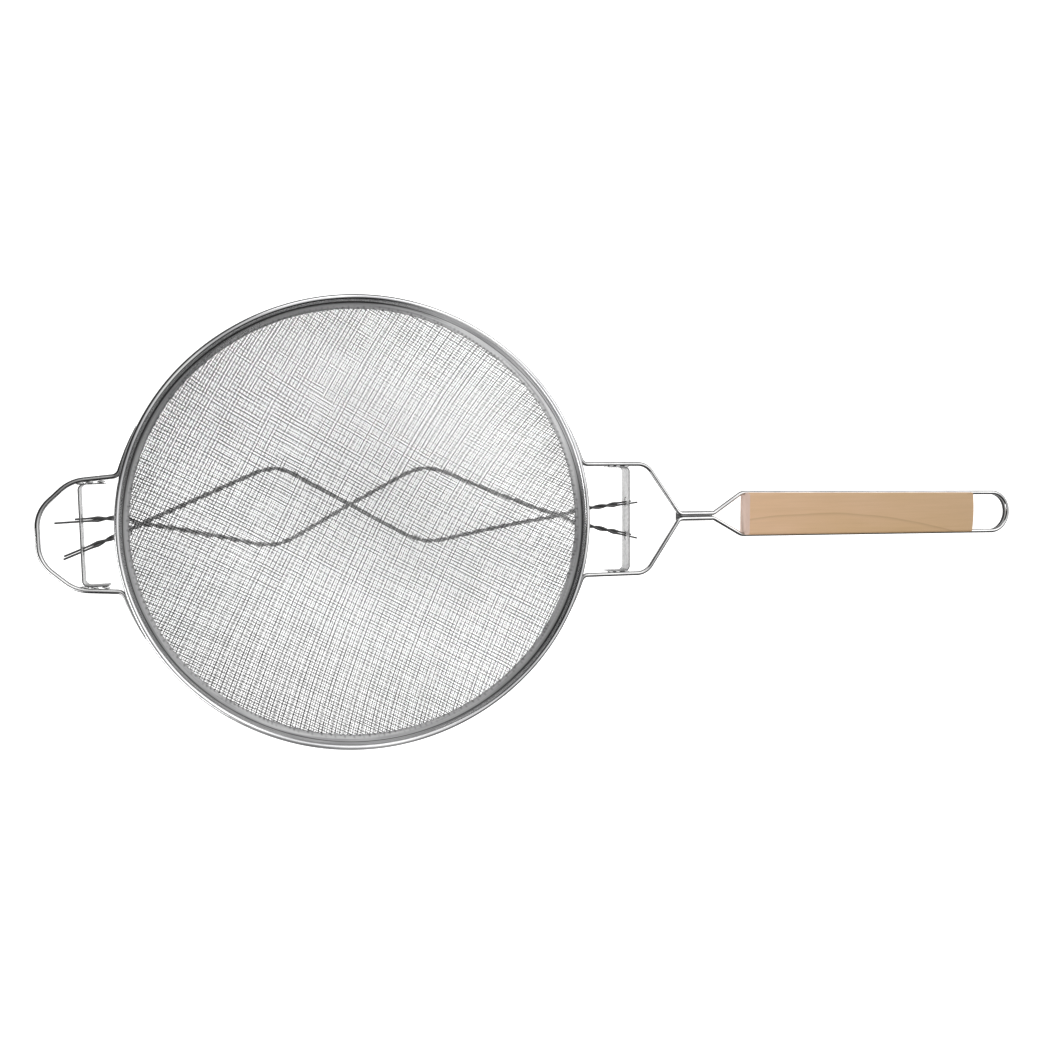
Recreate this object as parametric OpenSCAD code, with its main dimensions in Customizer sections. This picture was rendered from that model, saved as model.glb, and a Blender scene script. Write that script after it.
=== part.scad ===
// Double mesh kitchen sieve. A bowl of two woven layers hangs in a rolled steel hoop.
// A wire rest loop stands out on one side, and a wire yoke with a flat wooden grip on the other.
// Two twisted wires run from a bracket on the yoke, under the bowl, to a bracket on the loop.
// +X runs along the handle and +Z points up, out of the bowl. The origin is the rim's centre,
// on the plane under the frame wires, where they sit on the edge of a pot.

/* [Rim] */
// Outer size of the rim along the handle
rim_length = 307; // [296:1:320]
// Outer size of the rim across the handle
rim_width = 296; // [285:1:307]
// Diameter of the rolled bead
bead_d = 3.6; // [3.2:0.1:4.4]
// Thickness of the sheet that the hoop is rolled from
rim_sheet = 0.5; // [0.4:0.05:0.6]
// Height of the hoop, from the top of the bead to its lower edge
rim_height = 12; // [10:0.5:14]

/* [Bowl] */
// Depth from the top of the rim to the outside of the bowl
bowl_depth = 100; // [80:1:115]
// Thickness of the coarse outer mesh
outer_mesh_t = 0.9; // [0.6:0.1:1.2]
// Thickness of the fine inner mesh
inner_mesh_t = 0.5; // [0.3:0.1:0.8]

/* [Frame wire] */
// Diameter of the wire of the yoke and of the rest loop
wire_d = 3; // [2.6:0.1:3.6]
// Distance between the two arms of the yoke, centre to centre
yoke_width = 77.4; // [66:0.2:86]
// Length of the yoke's straight arms, from the rim to the shoulders
yoke_arm = 43.5; // [38:0.5:50]
// Length of the slanting part of the yoke, along the handle
yoke_slant = 26; // [18:0.5:32]
// Length of the neck, where the two arms run side by side
neck_length = 27; // [20:0.5:36]
// Gap between the two wires along the neck
neck_gap = 0.5; // [0.2:0.1:1]
// Distance that the neck lies off the middle line of the rim
neck_sway = 1.2; // [0:0.1:2]
// Distance from the neck to the grip
neck_to_grip = 24.5; // [18:0.5:32]
// Distance that the near end of the grip lies off the middle line of the rim
grip_sway = 2.3; // [0:0.1:4]
// Distance from the grip to the middle of the hanging loop's bend
hang_length = 22.6; // [16:0.1:30]
// Bend radius at the yoke's shoulders
shoulder_bend = 13; // [8:0.5:16]
// Bend radius where the wire leaves the rim
root_bend = 5; // [3:0.5:6]
// Bend radius at the two ends of the neck
neck_bend = 5; // [4:0.5:8]

/* [Rest loop] */
// Distance that the rest loop stands out from the rim
loop_reach = 44; // [36:0.2:50]
// Distance between the loop's arms at the rim
loop_width = 70.8; // [60:0.2:78]
// Distance between the loop's arms at its outer corners
loop_mid_width = 66; // [56:0.5:74]
// Length of the flat nose of the loop
loop_nose = 30; // [20:0.5:38]
// Length of the slanting sides of the loop, along the handle
loop_slant = 19.3; // [14:0.1:22]
// Bend radius of the loop's corners
loop_bend = 22; // [12:0.5:24]
// Angle that the loop sits round the rim, off the line of the handle
loop_turn = 1.2; // [0:0.1:3]

/* [Brackets] */
// Height of the bracket strips
strip_h = 12.5; // [10:0.5:15]
// Thickness of the bracket strips
strip_t = 0.8; // [0.6:0.1:1.2]
// Length of the bracket's legs, which are welded to the wire
leg_length = 15; // [10:0.5:18]
// Distance from the rim to the bracket of the rest loop
rest_bracket_out = 19.3; // [17:0.1:20.5]
// Distance from the rim to the bracket of the yoke
yoke_bracket_out = 30.6; // [24:0.1:33]
// Distance between the two slots in the rest loop's bracket
rest_slot_gap = 18.2; // [14:0.2:24]
// Distance between the two slots in the yoke's bracket
yoke_slot_gap = 22.4; // [16:0.2:28]

/* [Support wires] */
// Diameter of one strand
strand_d = 1.3; // [1.1:0.1:1.4]
// Length of one full twist of the two strands
twist_pitch = 20; // [18:1:26]
// Distance from the middle of the bowl to the bends in the wires, along the handle
support_bend_x = 54; // [40:1:64]
// Distance from the wires' middle line to their bends
support_bend_y = 30.4; // [20:0.2:34]
// Distance that the wires' middle line lies off the handle's line
support_shift = 10; // [0:1:12]

/* [Grip] */
// Length of the wooden grip
grip_length = 198.5; // [150:0.5:220]
// Width of the grip
grip_width = 31; // [28:0.5:36]
// Thickness of the grip
grip_t = 13; // [11:0.5:18]
// Radius of the grip's long edges
grip_edge_r = 1.6; // [1:0.1:3]
// Chamfer round the end of the grip next to the neck
grip_chamfer = 1.5; // [1:0.1:2.5]
// Distance that the far end of the grip bulges at its middle
grip_crown = 1; // [0.6:0.1:2]

/* [Hidden] */

steel = "#c9ccd0";
bright_steel = "#dcdee1";
mesh_grey = "#b4b7bb";
pale_wood = "#cdb08a";

// Clearances and overruns
seat_gap = 0.05;
cut_over = 1;

// Facets: round a full turn, round a small section and round the wires. A bend's straight steps
// lie no further than bend_sag off the true arc.
round_fn = 180;
wire_fn = 24;
wire_sides = 10;
strand_sides = 5;
bend_sag = 0.1;

// The rim's oval is drawn with four arcs that meet on the diagonals. Their centres lie oval_c from
// the rim's centre, and the arcs at the sides have the longer radius, by oval_more and oval_c.
rim_a = rim_length / 2;
rim_b = rim_width / 2;
rim_oval_share = rim_width / rim_length;
fine_step = 0.001;
oval_c = round((rim_a - rim_b) / (2 - sqrt(2)) / fine_step) * fine_step;
oval_more = (sqrt(2) - 1) * oval_c;
oval_more_coarse = round(oval_more / fine_step) * fine_step;
quarter = 90;

// Rim and frame heights
wire_z = wire_d / 2;
hug_out = 0.6;
hug_r = rim_length / 2 + hug_out;
bead_r = rim_length / 2 - bead_d / 2;
bead_rise = sqrt(pow((bead_d + wire_d) / 2 + 2 * seat_gap, 2) - pow(hug_r - bead_r, 2));
bead_z = wire_z + bead_rise;
rim_top = bead_z + bead_d / 2;
hoop_low = rim_top - rim_height;
core_d = bead_d - 2 * rim_sheet - 4 * seat_gap;

// Bowl: both meshes are parts of spheres round one centre, drawn in to the rim's oval
mesh_in = 0.2;
mesh_drop = 0.35;
mouth_r = bead_r - mesh_in;
mouth_z = bead_z - bead_d / 2 - mesh_drop;
bowl_low = rim_top - bowl_depth;
bowl_h = mouth_z - bowl_low;
bowl_r = (pow(mouth_r, 2) + pow(bowl_h, 2)) / (2 * bowl_h);
bowl_cz = bowl_low + bowl_r;
inner_r = bowl_r - outer_mesh_t - seat_gap;
mouth_slope = asin(mouth_r / bowl_r);
pack_t = outer_mesh_t + seat_gap + inner_mesh_t;

// The hoop's two leaves lean as the bowl does and grip the edges of both meshes between them
leaf_gap = 0.3;
leaf_rise = 1.2;
leaf_length = (mouth_z - hoop_low) / sin(mouth_slope);
leaf_angle = 180 / PI * leaf_length / bowl_r;
leaf_lean = quarter - mouth_slope + leaf_angle / 2;

// Profiles are drawn at their distance from the rim's middle, as they lie at its end. The shift of
// the side arcs is made in a coarse and a fine step, so that their ends meet the end arcs exactly.
module round_oval() {
    for (turn = [0, 180]) rotate(turn) {
        translate([oval_c, 0, 0])
            rotate_extrude(angle = quarter, start = -quarter / 2, $fn = round_fn)
                translate([-oval_c, 0]) children();
        translate([0, -oval_c, 0])
            rotate_extrude(angle = quarter, start = quarter / 2, $fn = round_fn)
                translate([oval_more_coarse, 0]) translate([oval_more - oval_more_coarse, 0]) children();
    }
}

module leaf(place) {
    translate([place, -leaf_length]) square([rim_sheet, leaf_length + leaf_rise]);
}

module hoop_profile() {
    difference() {
        union() {
            translate([bead_r, bead_z]) circle(d = bead_d, $fn = wire_fn);
            translate([mouth_r, mouth_z]) rotate(-leaf_lean) {
                leaf(leaf_gap);
                leaf(-pack_t - leaf_gap - rim_sheet);
            }
        }
        translate([bead_r, bead_z]) circle(d = bead_d - 2 * rim_sheet, $fn = wire_fn);
    }
}

module rim_hoop() {
    color(bright_steel) round_oval() hoop_profile();
}

module rim_core_wire() {
    color(steel) round_oval() translate([bead_r, bead_z]) circle(d = core_d, $fn = wire_fn);
}

// A woven layer of the bowl as a plain lattice. A square grid is laid on the bowl along the threads,
// and its four sides are drawn out to the round edge below the hoop's leaves. Each cell has an
// opening, except where it meets that edge. The edge that the leaves grip is solid.
lattice_cells = 10;
lattice_open_share = 0.7;
lattice_edge_share = 0.99;
lattice_turn = -31.5;
lattice_corner = 45;
columns = 2 * lattice_cells + 1;
lattice_lines = concat([-1],
    [for (k = [0:lattice_cells - 1], side = [-1, 1])
        (2 * k + 1 + side * lattice_open_share) / lattice_cells - 1],
    [1]);

// A point on the four-arc oval that reaches out to rho along the handle
function oval_point(rho, c, round) =
    let (k = floor(round / quarter + 1 / 2), ends = k % 2 == 0, reach = rho + (ends ? -1 : sqrt(2) - 1) * c)
    [(ends ? c * cos(quarter * k) : 0) + reach * cos(round),
        (ends ? 0 : -c * sin(quarter * k)) + reach * sin(round)];
function mesh_point(r, down, round) =
    let (c = oval_c * min(sin(down) / sin(mouth_slope - leaf_angle), 1),
        plan = oval_point(r * sin(down), c, round))
    [plan[0], plan[1], bowl_cz - r * cos(down)];
function disc_point(u, v) =
    let (a = lattice_corner * u, b = lattice_corner * v)
    sqrt(2) * [sin(a) * cos(b), cos(a) * sin(b)];
function disc_at(i, j) = disc_point(lattice_lines[i], lattice_lines[j]);
function grid_point(r, i, j) =
    let (p = disc_at(i, j))
    mesh_point(r, norm(p) * (mouth_slope - leaf_angle), atan2(p[1], p[0]) + lattice_turn);
function edge_point(r, i, j) =
    let (p = disc_at(i, j))
    mesh_point(r, mouth_slope, atan2(p[1], p[0]) + lattice_turn);

// Places in the grid, as [column, row]: all of them, and those round its edge
grid_places = [for (i = [0:columns], j = [0:columns]) [i, j]];
edge_places = concat([for (i = [0:columns - 1]) [i, 0]], [for (j = [0:columns - 1]) [columns, j]],
    [for (i = [columns:-1:1]) [i, columns]], [for (j = [columns:-1:1]) [0, j]]);
function place_of(p) = p[0] * (columns + 1) + p[1];
function far_reach(i, j) = max([for (a = [i, i + 1], b = [j, j + 1]) norm(disc_at(a, b))]);
function is_open(i, j) = i % 2 == 1 && j % 2 == 1 && far_reach(i, j) < lattice_edge_share;
function mesh_skin(r) = concat(
    [for (p = grid_places) grid_point(r, p[0], p[1])],
    [for (p = edge_places) edge_point(r, p[0], p[1])]);
function split(a, b, c, d) = [[a, b, c], [a, c, d]];

module mesh_shell(outside_r, thickness) {
    around = len(edge_places);
    grid = len(grid_places);
    skin = grid + around;
    cells = [for (i = [0:columns - 1], j = [0:columns - 1])
        let (corners = [for (p = [[i, j], [i + 1, j], [i + 1, j + 1], [i, j + 1]]) place_of(p)])
        [is_open(i, j), corners]];
    solid = [for (c = cells) if (!c[0]) each split(c[1][0], c[1][1], c[1][2], c[1][3])];
    gripped = [for (k = [0:around - 1])
        let (next = (k + 1) % around, a = place_of(edge_places[k]), b = place_of(edge_places[next]))
        each split(b, a, grid + k, grid + next)];
    outside = concat(solid, gripped);
    inside = [for (face = outside) [face[0] + skin, face[2] + skin, face[1] + skin]];
    walls = [for (c = cells, k = [0:3])
        let (a = c[1][k], b = c[1][(k + 1) % 4])
        if (c[0]) each split(a, b, b + skin, a + skin)];
    rim = [for (k = [0:around - 1])
        let (a = grid + k, b = grid + (k + 1) % around)
        each split(b, a, a + skin, b + skin)];
    polyhedron(points = concat(mesh_skin(outside_r), mesh_skin(outside_r - thickness)),
        faces = concat(outside, inside, walls, rim));
}

module outer_mesh() {
    color(mesh_grey) mesh_shell(bowl_r, outer_mesh_t);
}

module inner_mesh() {
    color(mesh_grey) mesh_shell(inner_r, inner_mesh_t);
}

// Bent wire in one plane: straight runs between corners, each corner rounded by its own bend
function unit(v) = v / norm(v);
function run_dir(p, i) = unit(p[i + 1] - p[i]);
function turn_angle(p, i) =
    let (a = run_dir(p, i - 1), b = run_dir(p, i))
    atan2(a[0] * b[1] - a[1] * b[0], a * b);
function setback(p, bends, i) =
    (i == 0 || i == len(p) - 1) ? 0 : bends[i - 1] * tan(abs(turn_angle(p, i)) / 2);

// Stations along a bent wire, each a place and a direction: both ends, and steps round each bend
function bend_stations(p, bends, i) =
    let (dir = run_dir(p, i - 1), turn = turn_angle(p, i), r = bends[i - 1],
        side = sign(turn) * [-dir[1], dir[0]],
        mid = p[i] - dir * setback(p, bends, i) + side * r,
        n = max(ceil(abs(turn) / (2 * acos(1 - bend_sag / r))), 1))
    [for (j = [0:n])
        let (a = turn * j / n, heading = dir * cos(a) + [-dir[1], dir[0]] * sin(a))
        [mid - sign(turn) * [-heading[1], heading[0]] * r, heading]];
function wire_stations(p, bends) = concat(
    [[p[0], run_dir(p, 0)]],
    [for (i = [1:len(p) - 2]) each bend_stations(p, bends, i)],
    [[p[len(p) - 1], run_dir(p, len(p) - 2)]]);
function apart(list) =
    [for (i = [0:len(list) - 1]) if (i == 0 || norm(list[i][0] - list[i - 1][0]) > seat_gap) list[i]];

module bent_wire(p, bends, d) {
    tube([for (w = apart(wire_stations(p, bends)))
        [for (k = [0:wire_sides - 1])
            let (a = 360 * k / wire_sides, out = [-w[1][1], w[1][0]] * cos(a) * d / 2)
            [w[0][0] + out[0], w[0][1] + out[1], wire_z + sin(a) * d / 2]]]);
}

// A tube through rings of points, closed at both ends
module tube(rings) {
    n = len(rings);
    m = len(rings[0]);
    points = [for (ring = rings) each ring];
    sides = [for (i = [0:n - 2], k = [0:m - 1])
        let (a = i * m + k, b = i * m + (k + 1) % m)
        each [[a, a + m, b], [b, a + m, b + m]]];
    caps = [for (k = [1:m - 2]) each [[0, k, k + 1],
        [(n - 1) * m, (n - 1) * m + k + 1, (n - 1) * m + k]]];
    polyhedron(points = points, faces = concat(sides, caps));
}

// The wire's stretch along the rim, round the centre of the oval's end arc
hug_arc_r = hug_r - oval_c;
function hug_point(t) = [oval_c + hug_arc_r * cos(t), hug_arc_r * sin(t)];
function hug_corner(t1, t2) =
    let (t = (t1 + t2) / 2, r = hug_arc_r / cos((t1 - t2) / 2)) [oval_c + r * cos(t), r * sin(t)];
function hug_leave(t, y) = hug_point(t) + [-sin(t), cos(t)] * (y - hug_arc_r * sin(t)) / cos(t);
function flip(v) = [v[0], -v[1]];
function back(v) = [-v[0], v[1]];
function reversed(list) = [for (i = [len(list) - 1:-1:0]) list[i]];

// Angles round the end arc where the wires start and stop lying along the rim
hug_margin = 3;
yoke_hug_start = 29;
yoke_hug_end = asin(yoke_width / (2 * hug_arc_r)) + hug_margin;
loop_hug_start = 27;
loop_hug_end = asin(loop_width / (2 * hug_arc_r)) + hug_margin;

// Places along the handle
shoulder_x = rim_length / 2 + yoke_arm;
neck_start_x = shoulder_x + yoke_slant;
neck_end_x = neck_start_x + neck_length;
grip_x = neck_end_x + neck_to_grip;
grip_end_x = grip_x + grip_length;
hang_x = grip_end_x + hang_length;
neck_half = (wire_d + neck_gap) / 2;
groove_sunk = 0.3;
grip_wire_y = grip_width / 2 - groove_sunk;
hang_bend = grip_wire_y - seat_gap;
grip_bend = 8;
grip_turn = atan2(grip_wire_y - neck_half, neck_to_grip);
grip_corner_x = grip_x - grip_bend * tan(grip_turn / 2) - seat_gap;
hang_end_x = hang_x + grip_wire_y;

// The handle is bent by hand, so the neck and the near end of the grip lie a little to one side
function sway(x) = lookup(x, [[shoulder_x, 0], [neck_start_x, neck_sway], [neck_end_x, neck_sway],
    [grip_corner_x, grip_sway], [hang_end_x, 0]]);
grip_lean = atan2(-grip_sway, hang_end_x - grip_corner_x);

yoke_side = [
    hug_point(yoke_hug_start),
    hug_corner(yoke_hug_start, yoke_hug_end),
    hug_leave(yoke_hug_end, yoke_width / 2),
    [shoulder_x, yoke_width / 2],
    [neck_start_x, neck_half],
    [neck_end_x, neck_half],
    [grip_corner_x, grip_wire_y],
    [hang_end_x, grip_wire_y]];
yoke_bends = [hug_arc_r, root_bend, shoulder_bend,
    neck_bend, neck_bend, grip_bend, hang_bend];
handle_path = [for (p = concat(yoke_side, reversed([for (p = yoke_side) flip(p)])))
    p + [0, sway(p[0])]];
handle_bends = concat(yoke_bends, reversed(yoke_bends));

loop_nose_x = -rim_length / 2 - loop_reach + wire_d / 2;
loop_side = [
    back(hug_point(loop_hug_start)),
    back(hug_corner(loop_hug_start, loop_hug_end)),
    back(hug_leave(loop_hug_end, loop_width / 2)),
    [loop_nose_x + loop_slant, loop_mid_width / 2],
    [loop_nose_x, loop_nose / 2]];
loop_bends = [hug_arc_r, root_bend, loop_bend, loop_bend];
loop_path = concat(loop_side, reversed([for (p = loop_side) flip(p)]));
loop_all_bends = concat(loop_bends, reversed(loop_bends));

module rest_loop() {
    color(bright_steel) rotate(loop_turn)
        bent_wire(loop_path, loop_all_bends, wire_d);
}

module handle_wire() {
    color(bright_steel) bent_wire(handle_path, handle_bends, wire_d);
}

// Brackets: a strip on edge, bent to a U whose legs lie along the inside of the arms
strip_bend = 4;
strip_up = 1;
strip_z = wire_z + strip_up - strip_h;
slot_z = strip_z + strip_h / 2;
slot_h = strand_d + 1.3;
slot_length = 6.6;
slot_in = 2.4;

module rounded_end_block(length, width, r) {
    translate([-length, -width / 2]) square([length - r, width]);
    translate([-length, -width / 2 + r]) square([length, width - 2 * r]);
    for (s = [-1, 1]) translate([-r, s * (width / 2 - r)]) circle(r = r, $fn = wire_fn);
}

module slot_cut(y, side) {
    near = y - side * slot_in;
    far = near + side * slot_length;
    for (end = [near + side * slot_h / 2, far - side * slot_h / 2])
        translate([-strip_t - cut_over, end, slot_z]) rotate([0, quarter, 0])
            cylinder(h = strip_t + 2 * cut_over, d = slot_h, $fn = wire_fn);
    translate([-strip_t - cut_over, min(near, far) + slot_h / 2, slot_z - slot_h / 2])
        cube([strip_t + 2 * cut_over, slot_length - slot_h, slot_h]);
}

// The web's outer face is at x = 0 and the legs run back along -X
module bracket(width, slot_gap) {
    difference() {
        translate([0, 0, strip_z]) linear_extrude(height = strip_h) difference() {
            rounded_end_block(leg_length, width, strip_bend);
            translate([-strip_t, 0])
                rounded_end_block(leg_length + cut_over, width - 2 * strip_t, strip_bend - strip_t);
        }
        for (s = [-1, 1]) slot_cut(s * slot_gap / 2, s);
    }
}

yoke_bracket_x = rim_length / 2 + yoke_bracket_out;
rest_bracket_x = rim_length / 2 + rest_bracket_out;
yoke_bracket_width = yoke_width - wire_d - 2 * seat_gap;

// The rest loop's bracket fits between the arms where they draw in towards the nose
loop_stations = apart(wire_stations(loop_path, loop_all_bends));
loop_half = [for (w = loop_stations) if (w[0][1] > 0) w[0]];
function loop_arm_y(x) = lookup(x, loop_half);
rest_bracket_width = 2 * loop_arm_y(-rest_bracket_x) - wire_d - 4 * seat_gap;

module yoke_bracket() {
    color(steel) translate([yoke_bracket_x, 0, 0]) bracket(yoke_bracket_width, yoke_slot_gap);
}

module rest_bracket() {
    color(steel) rotate(loop_turn) translate([-rest_bracket_x, 0, 0]) rotate(180)
        bracket(rest_bracket_width, rest_slot_gap);
}

// Flat plate welded under the two wires of the neck
plate_t = 1;
plate_side = 0.3;
plate_over = 2;
plate_corner = 1;

module neck_plate() {
    length = neck_length + plate_over;
    width = 2 * wire_d + neck_gap + 2 * plate_side;
    color(steel) translate([neck_start_x - plate_over, neck_sway - width / 2, -plate_t - seat_gap])
        linear_extrude(height = plate_t) {
            translate([plate_corner, 0]) square([length - 2 * plate_corner, width]);
            translate([0, plate_corner]) square([length, width - 2 * plate_corner]);
            for (x = [plate_corner, length - plate_corner], y = [plate_corner, width - plate_corner])
                translate([x, y]) circle(r = plate_corner, $fn = wire_fn);
        }
}

// Short wire arc that lies under the bend of the hanging loop
liner_d = 2.4;
liner_angle = 176;

module hang_loop_liner() {
    color(steel) translate([hang_x, 0, -liner_d / 2 - seat_gap]) rotate(-liner_angle / 2)
        rotate_extrude(angle = liner_angle, $fn = round_fn)
            translate([grip_wire_y, 0]) circle(d = liner_d, $fn = wire_fn);
}

// Grip: rounded long edges, a chamfered near end, a bulging far end and a groove in each side
groove_gap = 0.1;

module grip_section() {
    w = grip_width - 2 * grip_edge_r;
    t = grip_t - 2 * grip_edge_r;
    square([t, grip_width], center = true);
    square([grip_t, w], center = true);
    for (i = [-1, 1], j = [-1, 1]) translate([i * t / 2, j * w / 2])
        circle(r = grip_edge_r, $fn = wire_fn);
}

module grip_side_view() {
    polygon([[0, -grip_t / 2 + grip_chamfer], [grip_chamfer, -grip_t / 2],
        [grip_length, -grip_t / 2], [grip_length, grip_t / 2],
        [grip_chamfer, grip_t / 2], [0, grip_t / 2 - grip_chamfer]]);
}

module grip() {
    crown_r = (pow(grip_width / 2, 2) + pow(grip_crown, 2)) / (2 * grip_crown);
    color(pale_wood) translate([grip_x, sway(grip_x), wire_z]) rotate(grip_lean) difference() {
        intersection() {
            rotate([0, quarter, 0]) linear_extrude(height = grip_length) grip_section();
            translate([0, grip_width / 2 + cut_over, 0]) rotate([quarter, 0, 0])
                linear_extrude(height = grip_width + 2 * cut_over) grip_side_view();
            translate([grip_length - crown_r, 0, -grip_t / 2 - cut_over])
                cylinder(r = crown_r, h = grip_t + 2 * cut_over, $fn = round_fn);
        }
        for (side = [-1, 1]) translate([-cut_over, side * grip_wire_y, 0]) rotate([0, quarter, 0])
            cylinder(h = grip_length + 2 * cut_over, d = wire_d + 2 * groove_gap, $fn = wire_fn);
    }
}

// Support wires: each is a twisted pair of strands that leaves a slot in one bracket, dips
// under the hoop, follows the outside of the bowl in a zigzag and rises to the other bracket
strand_off_share = 1.16;
strand_off = strand_d / 2 * strand_off_share;
pair_r = strand_off + strand_d / 2;
pair_gap = 0.15;
pair_shell = bowl_r + pair_r / rim_oval_share + pair_gap;
edge_gap = 0.4;
edge_z = hoop_low - pair_r - edge_gap;
edge_rho = sqrt(pow(pair_shell, 2) - pow(bowl_cz - edge_z, 2));

// The wires cross each other near both rims and in the middle; the second passes outside
end_cross_in = 9;
end_cross_y_share = 0.2;
edge_spread = 4.7;
cross_reach = 10;
cross_lift = 2 * pair_r + pair_gap;
end_cross_x = edge_rho - end_cross_in;
end_cross_y = support_shift * end_cross_y_share;

// Lengths of the strands' ends beyond the brackets: first and second strand
a_rest_ends = [12, 11];
b_rest_ends = [15, 3.5];
yoke_ends = [9, 4];

// How far apart the path is sampled, and how far its corners are rounded
plan_step = 1.2;
round_reach = 4;
support_ease = 9;
rings_per_twist = 8;
half_strip = strip_t / 2;
twist_stop = 9;

function turned(x, y) =
    [x * cos(loop_turn) - y * sin(loop_turn), x * sin(loop_turn) + y * cos(loop_turn)];
function onward(a, b, more) = b + unit(b - a) * more;

// A corner of the route drawn as three points, so that the wire bends round it gently
function eased(a, p, b) =
    let (start = p + unit(a - p) * support_ease, end = p + unit(b - p) * support_ease)
    [start, (start + 2 * p + end) / 4, end];

// Plan view of a support wire's corners; side is 1 for the one that starts at the low slot
function support_corners(side, rest_end) =
    let (rest_slot = turned(half_strip - rest_bracket_x, -side * rest_slot_gap / 2),
        yoke_slot = [yoke_bracket_x - half_strip, side * yoke_slot_gap / 2],
        rest_edge = [-edge_rho, end_cross_y - side * edge_spread],
        yoke_edge = [edge_rho, end_cross_y + side * edge_spread],
        rest_cross = [-end_cross_x, end_cross_y],
        rest_bend = [-support_bend_x, support_shift + side * support_bend_y],
        yoke_bend = [support_bend_x, support_shift - side * support_bend_y],
        yoke_cross = [end_cross_x, end_cross_y])
    concat([onward(rest_edge, rest_slot, rest_end + round_reach), rest_slot, rest_edge, rest_cross],
        eased(rest_cross, rest_bend, yoke_bend), eased(rest_bend, yoke_bend, yoke_cross),
        [yoke_cross, yoke_edge, yoke_slot,
            onward(yoke_edge, yoke_slot, max(yoke_ends) + round_reach)]);

function rho_of(x, y) = norm([x, y / rim_oval_share]);
function slot_x_near(x) = x < 0 ? rest_bracket_x : yoke_bracket_x;
function route_z(x, y) =
    let (rho = rho_of(x, y))
    rho <= edge_rho
        ? bowl_cz - sqrt(pow(pair_shell, 2) - pow(rho, 2))
        : edge_z + (slot_z - edge_z) * min((rho - edge_rho) / (slot_x_near(x) - edge_rho), 1);

crossings = [[-end_cross_x, end_cross_y], [0, support_shift], [end_cross_x, end_cross_y]];
function hump(d) = d < cross_reach ? (1 + cos(180 * d / cross_reach)) / 2 : 0;
function lift_at(x, y) = max([for (c = crossings) hump(norm([x, y] - c))]);
function route_point(p, lift) =
    let (z = route_z(p[0], p[1]), out = unit([p[0], p[1], z - bowl_cz]))
    [p[0], p[1], z] + out * lift * lift_at(p[0], p[1]);

function dense_route(corners, lift) =
    [for (i = [0:len(corners) - 2])
        let (a = corners[i], b = corners[i + 1], n = ceil(norm(b - a) / plan_step))
        for (j = [0:n - 1]) route_point(a + (b - a) * j / n, lift)];
function lengths_along(p) =
    [for (i = 0, s = 0; i < len(p); s = s + (i + 1 < len(p) ? norm(p[i + 1] - p[i]) : 0), i = i + 1) s];
function tables(p) =
    let (s = lengths_along(p))
    [for (axis = [0:2]) [for (i = [0:len(p) - 1]) [s[i], p[i][axis]]]];
function at(tab, s) = [for (axis = [0:2]) lookup(s, tab[axis])];
function smooth_at(tab, s) =
    let (w = round_reach / 2)
    (at(tab, s - 2 * w) + at(tab, s - w) * 2 + at(tab, s) * 2 + at(tab, s + w) * 2
        + at(tab, s + 2 * w)) / 8;
function length_at_x(tab, x) = lookup(x, [for (e = tab[0]) [e[1], e[0]]]);

function strand_ring(tab, s, angle) =
    let (mid = smooth_at(tab, s),
        along = unit(smooth_at(tab, s + strand_d) - smooth_at(tab, s - strand_d)),
        across = unit(cross(along, [0, 0, 1])),
        up = cross(across, along),
        centre = mid + (across * sin(angle) + up * cos(angle)) * strand_off)
    [for (k = [0:strand_sides - 1])
        let (a = 360 * k / strand_sides + angle)
        centre + (across * sin(a) + up * cos(a)) * strand_d / 2];

// One strand of a pair: which is 0 or 1, and the two wind round each other half a turn apart
module strand(side, which, lift, rest_ends) {
    tab = tables(dense_route(support_corners(side, max(rest_ends)), lift));
    rest_s = length_at_x(tab, turned(half_strip - rest_bracket_x, -side * rest_slot_gap / 2)[0]);
    yoke_s = length_at_x(tab, yoke_bracket_x - half_strip);
    twist_from = rest_s + twist_stop;
    twist_to = yoke_s - twist_stop;
    turns = round((twist_to - twist_from) / twist_pitch);
    step = (twist_to - twist_from) / (turns * rings_per_twist);
    first = rest_s - rest_ends[which];
    last = yoke_s + yoke_ends[which];
    stations = concat([first, rest_s],
        [for (i = [0:turns * rings_per_twist]) twist_from + i * step], [yoke_s, last]);
    tube([for (s = stations)
        let (wound = (min(max(s, twist_from), twist_to) - twist_from) / (twist_to - twist_from))
        strand_ring(tab, s, 90 + 180 * which + 360 * turns * wound)]);
}

module support_a_strand_1() {
    color(steel) strand(1, 0, 0, a_rest_ends);
}

module support_a_strand_2() {
    color(mesh_grey) strand(1, 1, 0, a_rest_ends);
}

module support_b_strand_1() {
    color(steel) strand(-1, 0, cross_lift, b_rest_ends);
}

module support_b_strand_2() {
    color(mesh_grey) strand(-1, 1, cross_lift, b_rest_ends);
}

rim_hoop();
rim_core_wire();
outer_mesh();
inner_mesh();
rest_loop();
rest_bracket();
handle_wire();
yoke_bracket();
neck_plate();
hang_loop_liner();
grip();
support_a_strand_1();
support_a_strand_2();
support_b_strand_1();
support_b_strand_2();
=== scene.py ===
import math

import bpy
import numpy as np
from mathutils import Matrix, Vector


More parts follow.
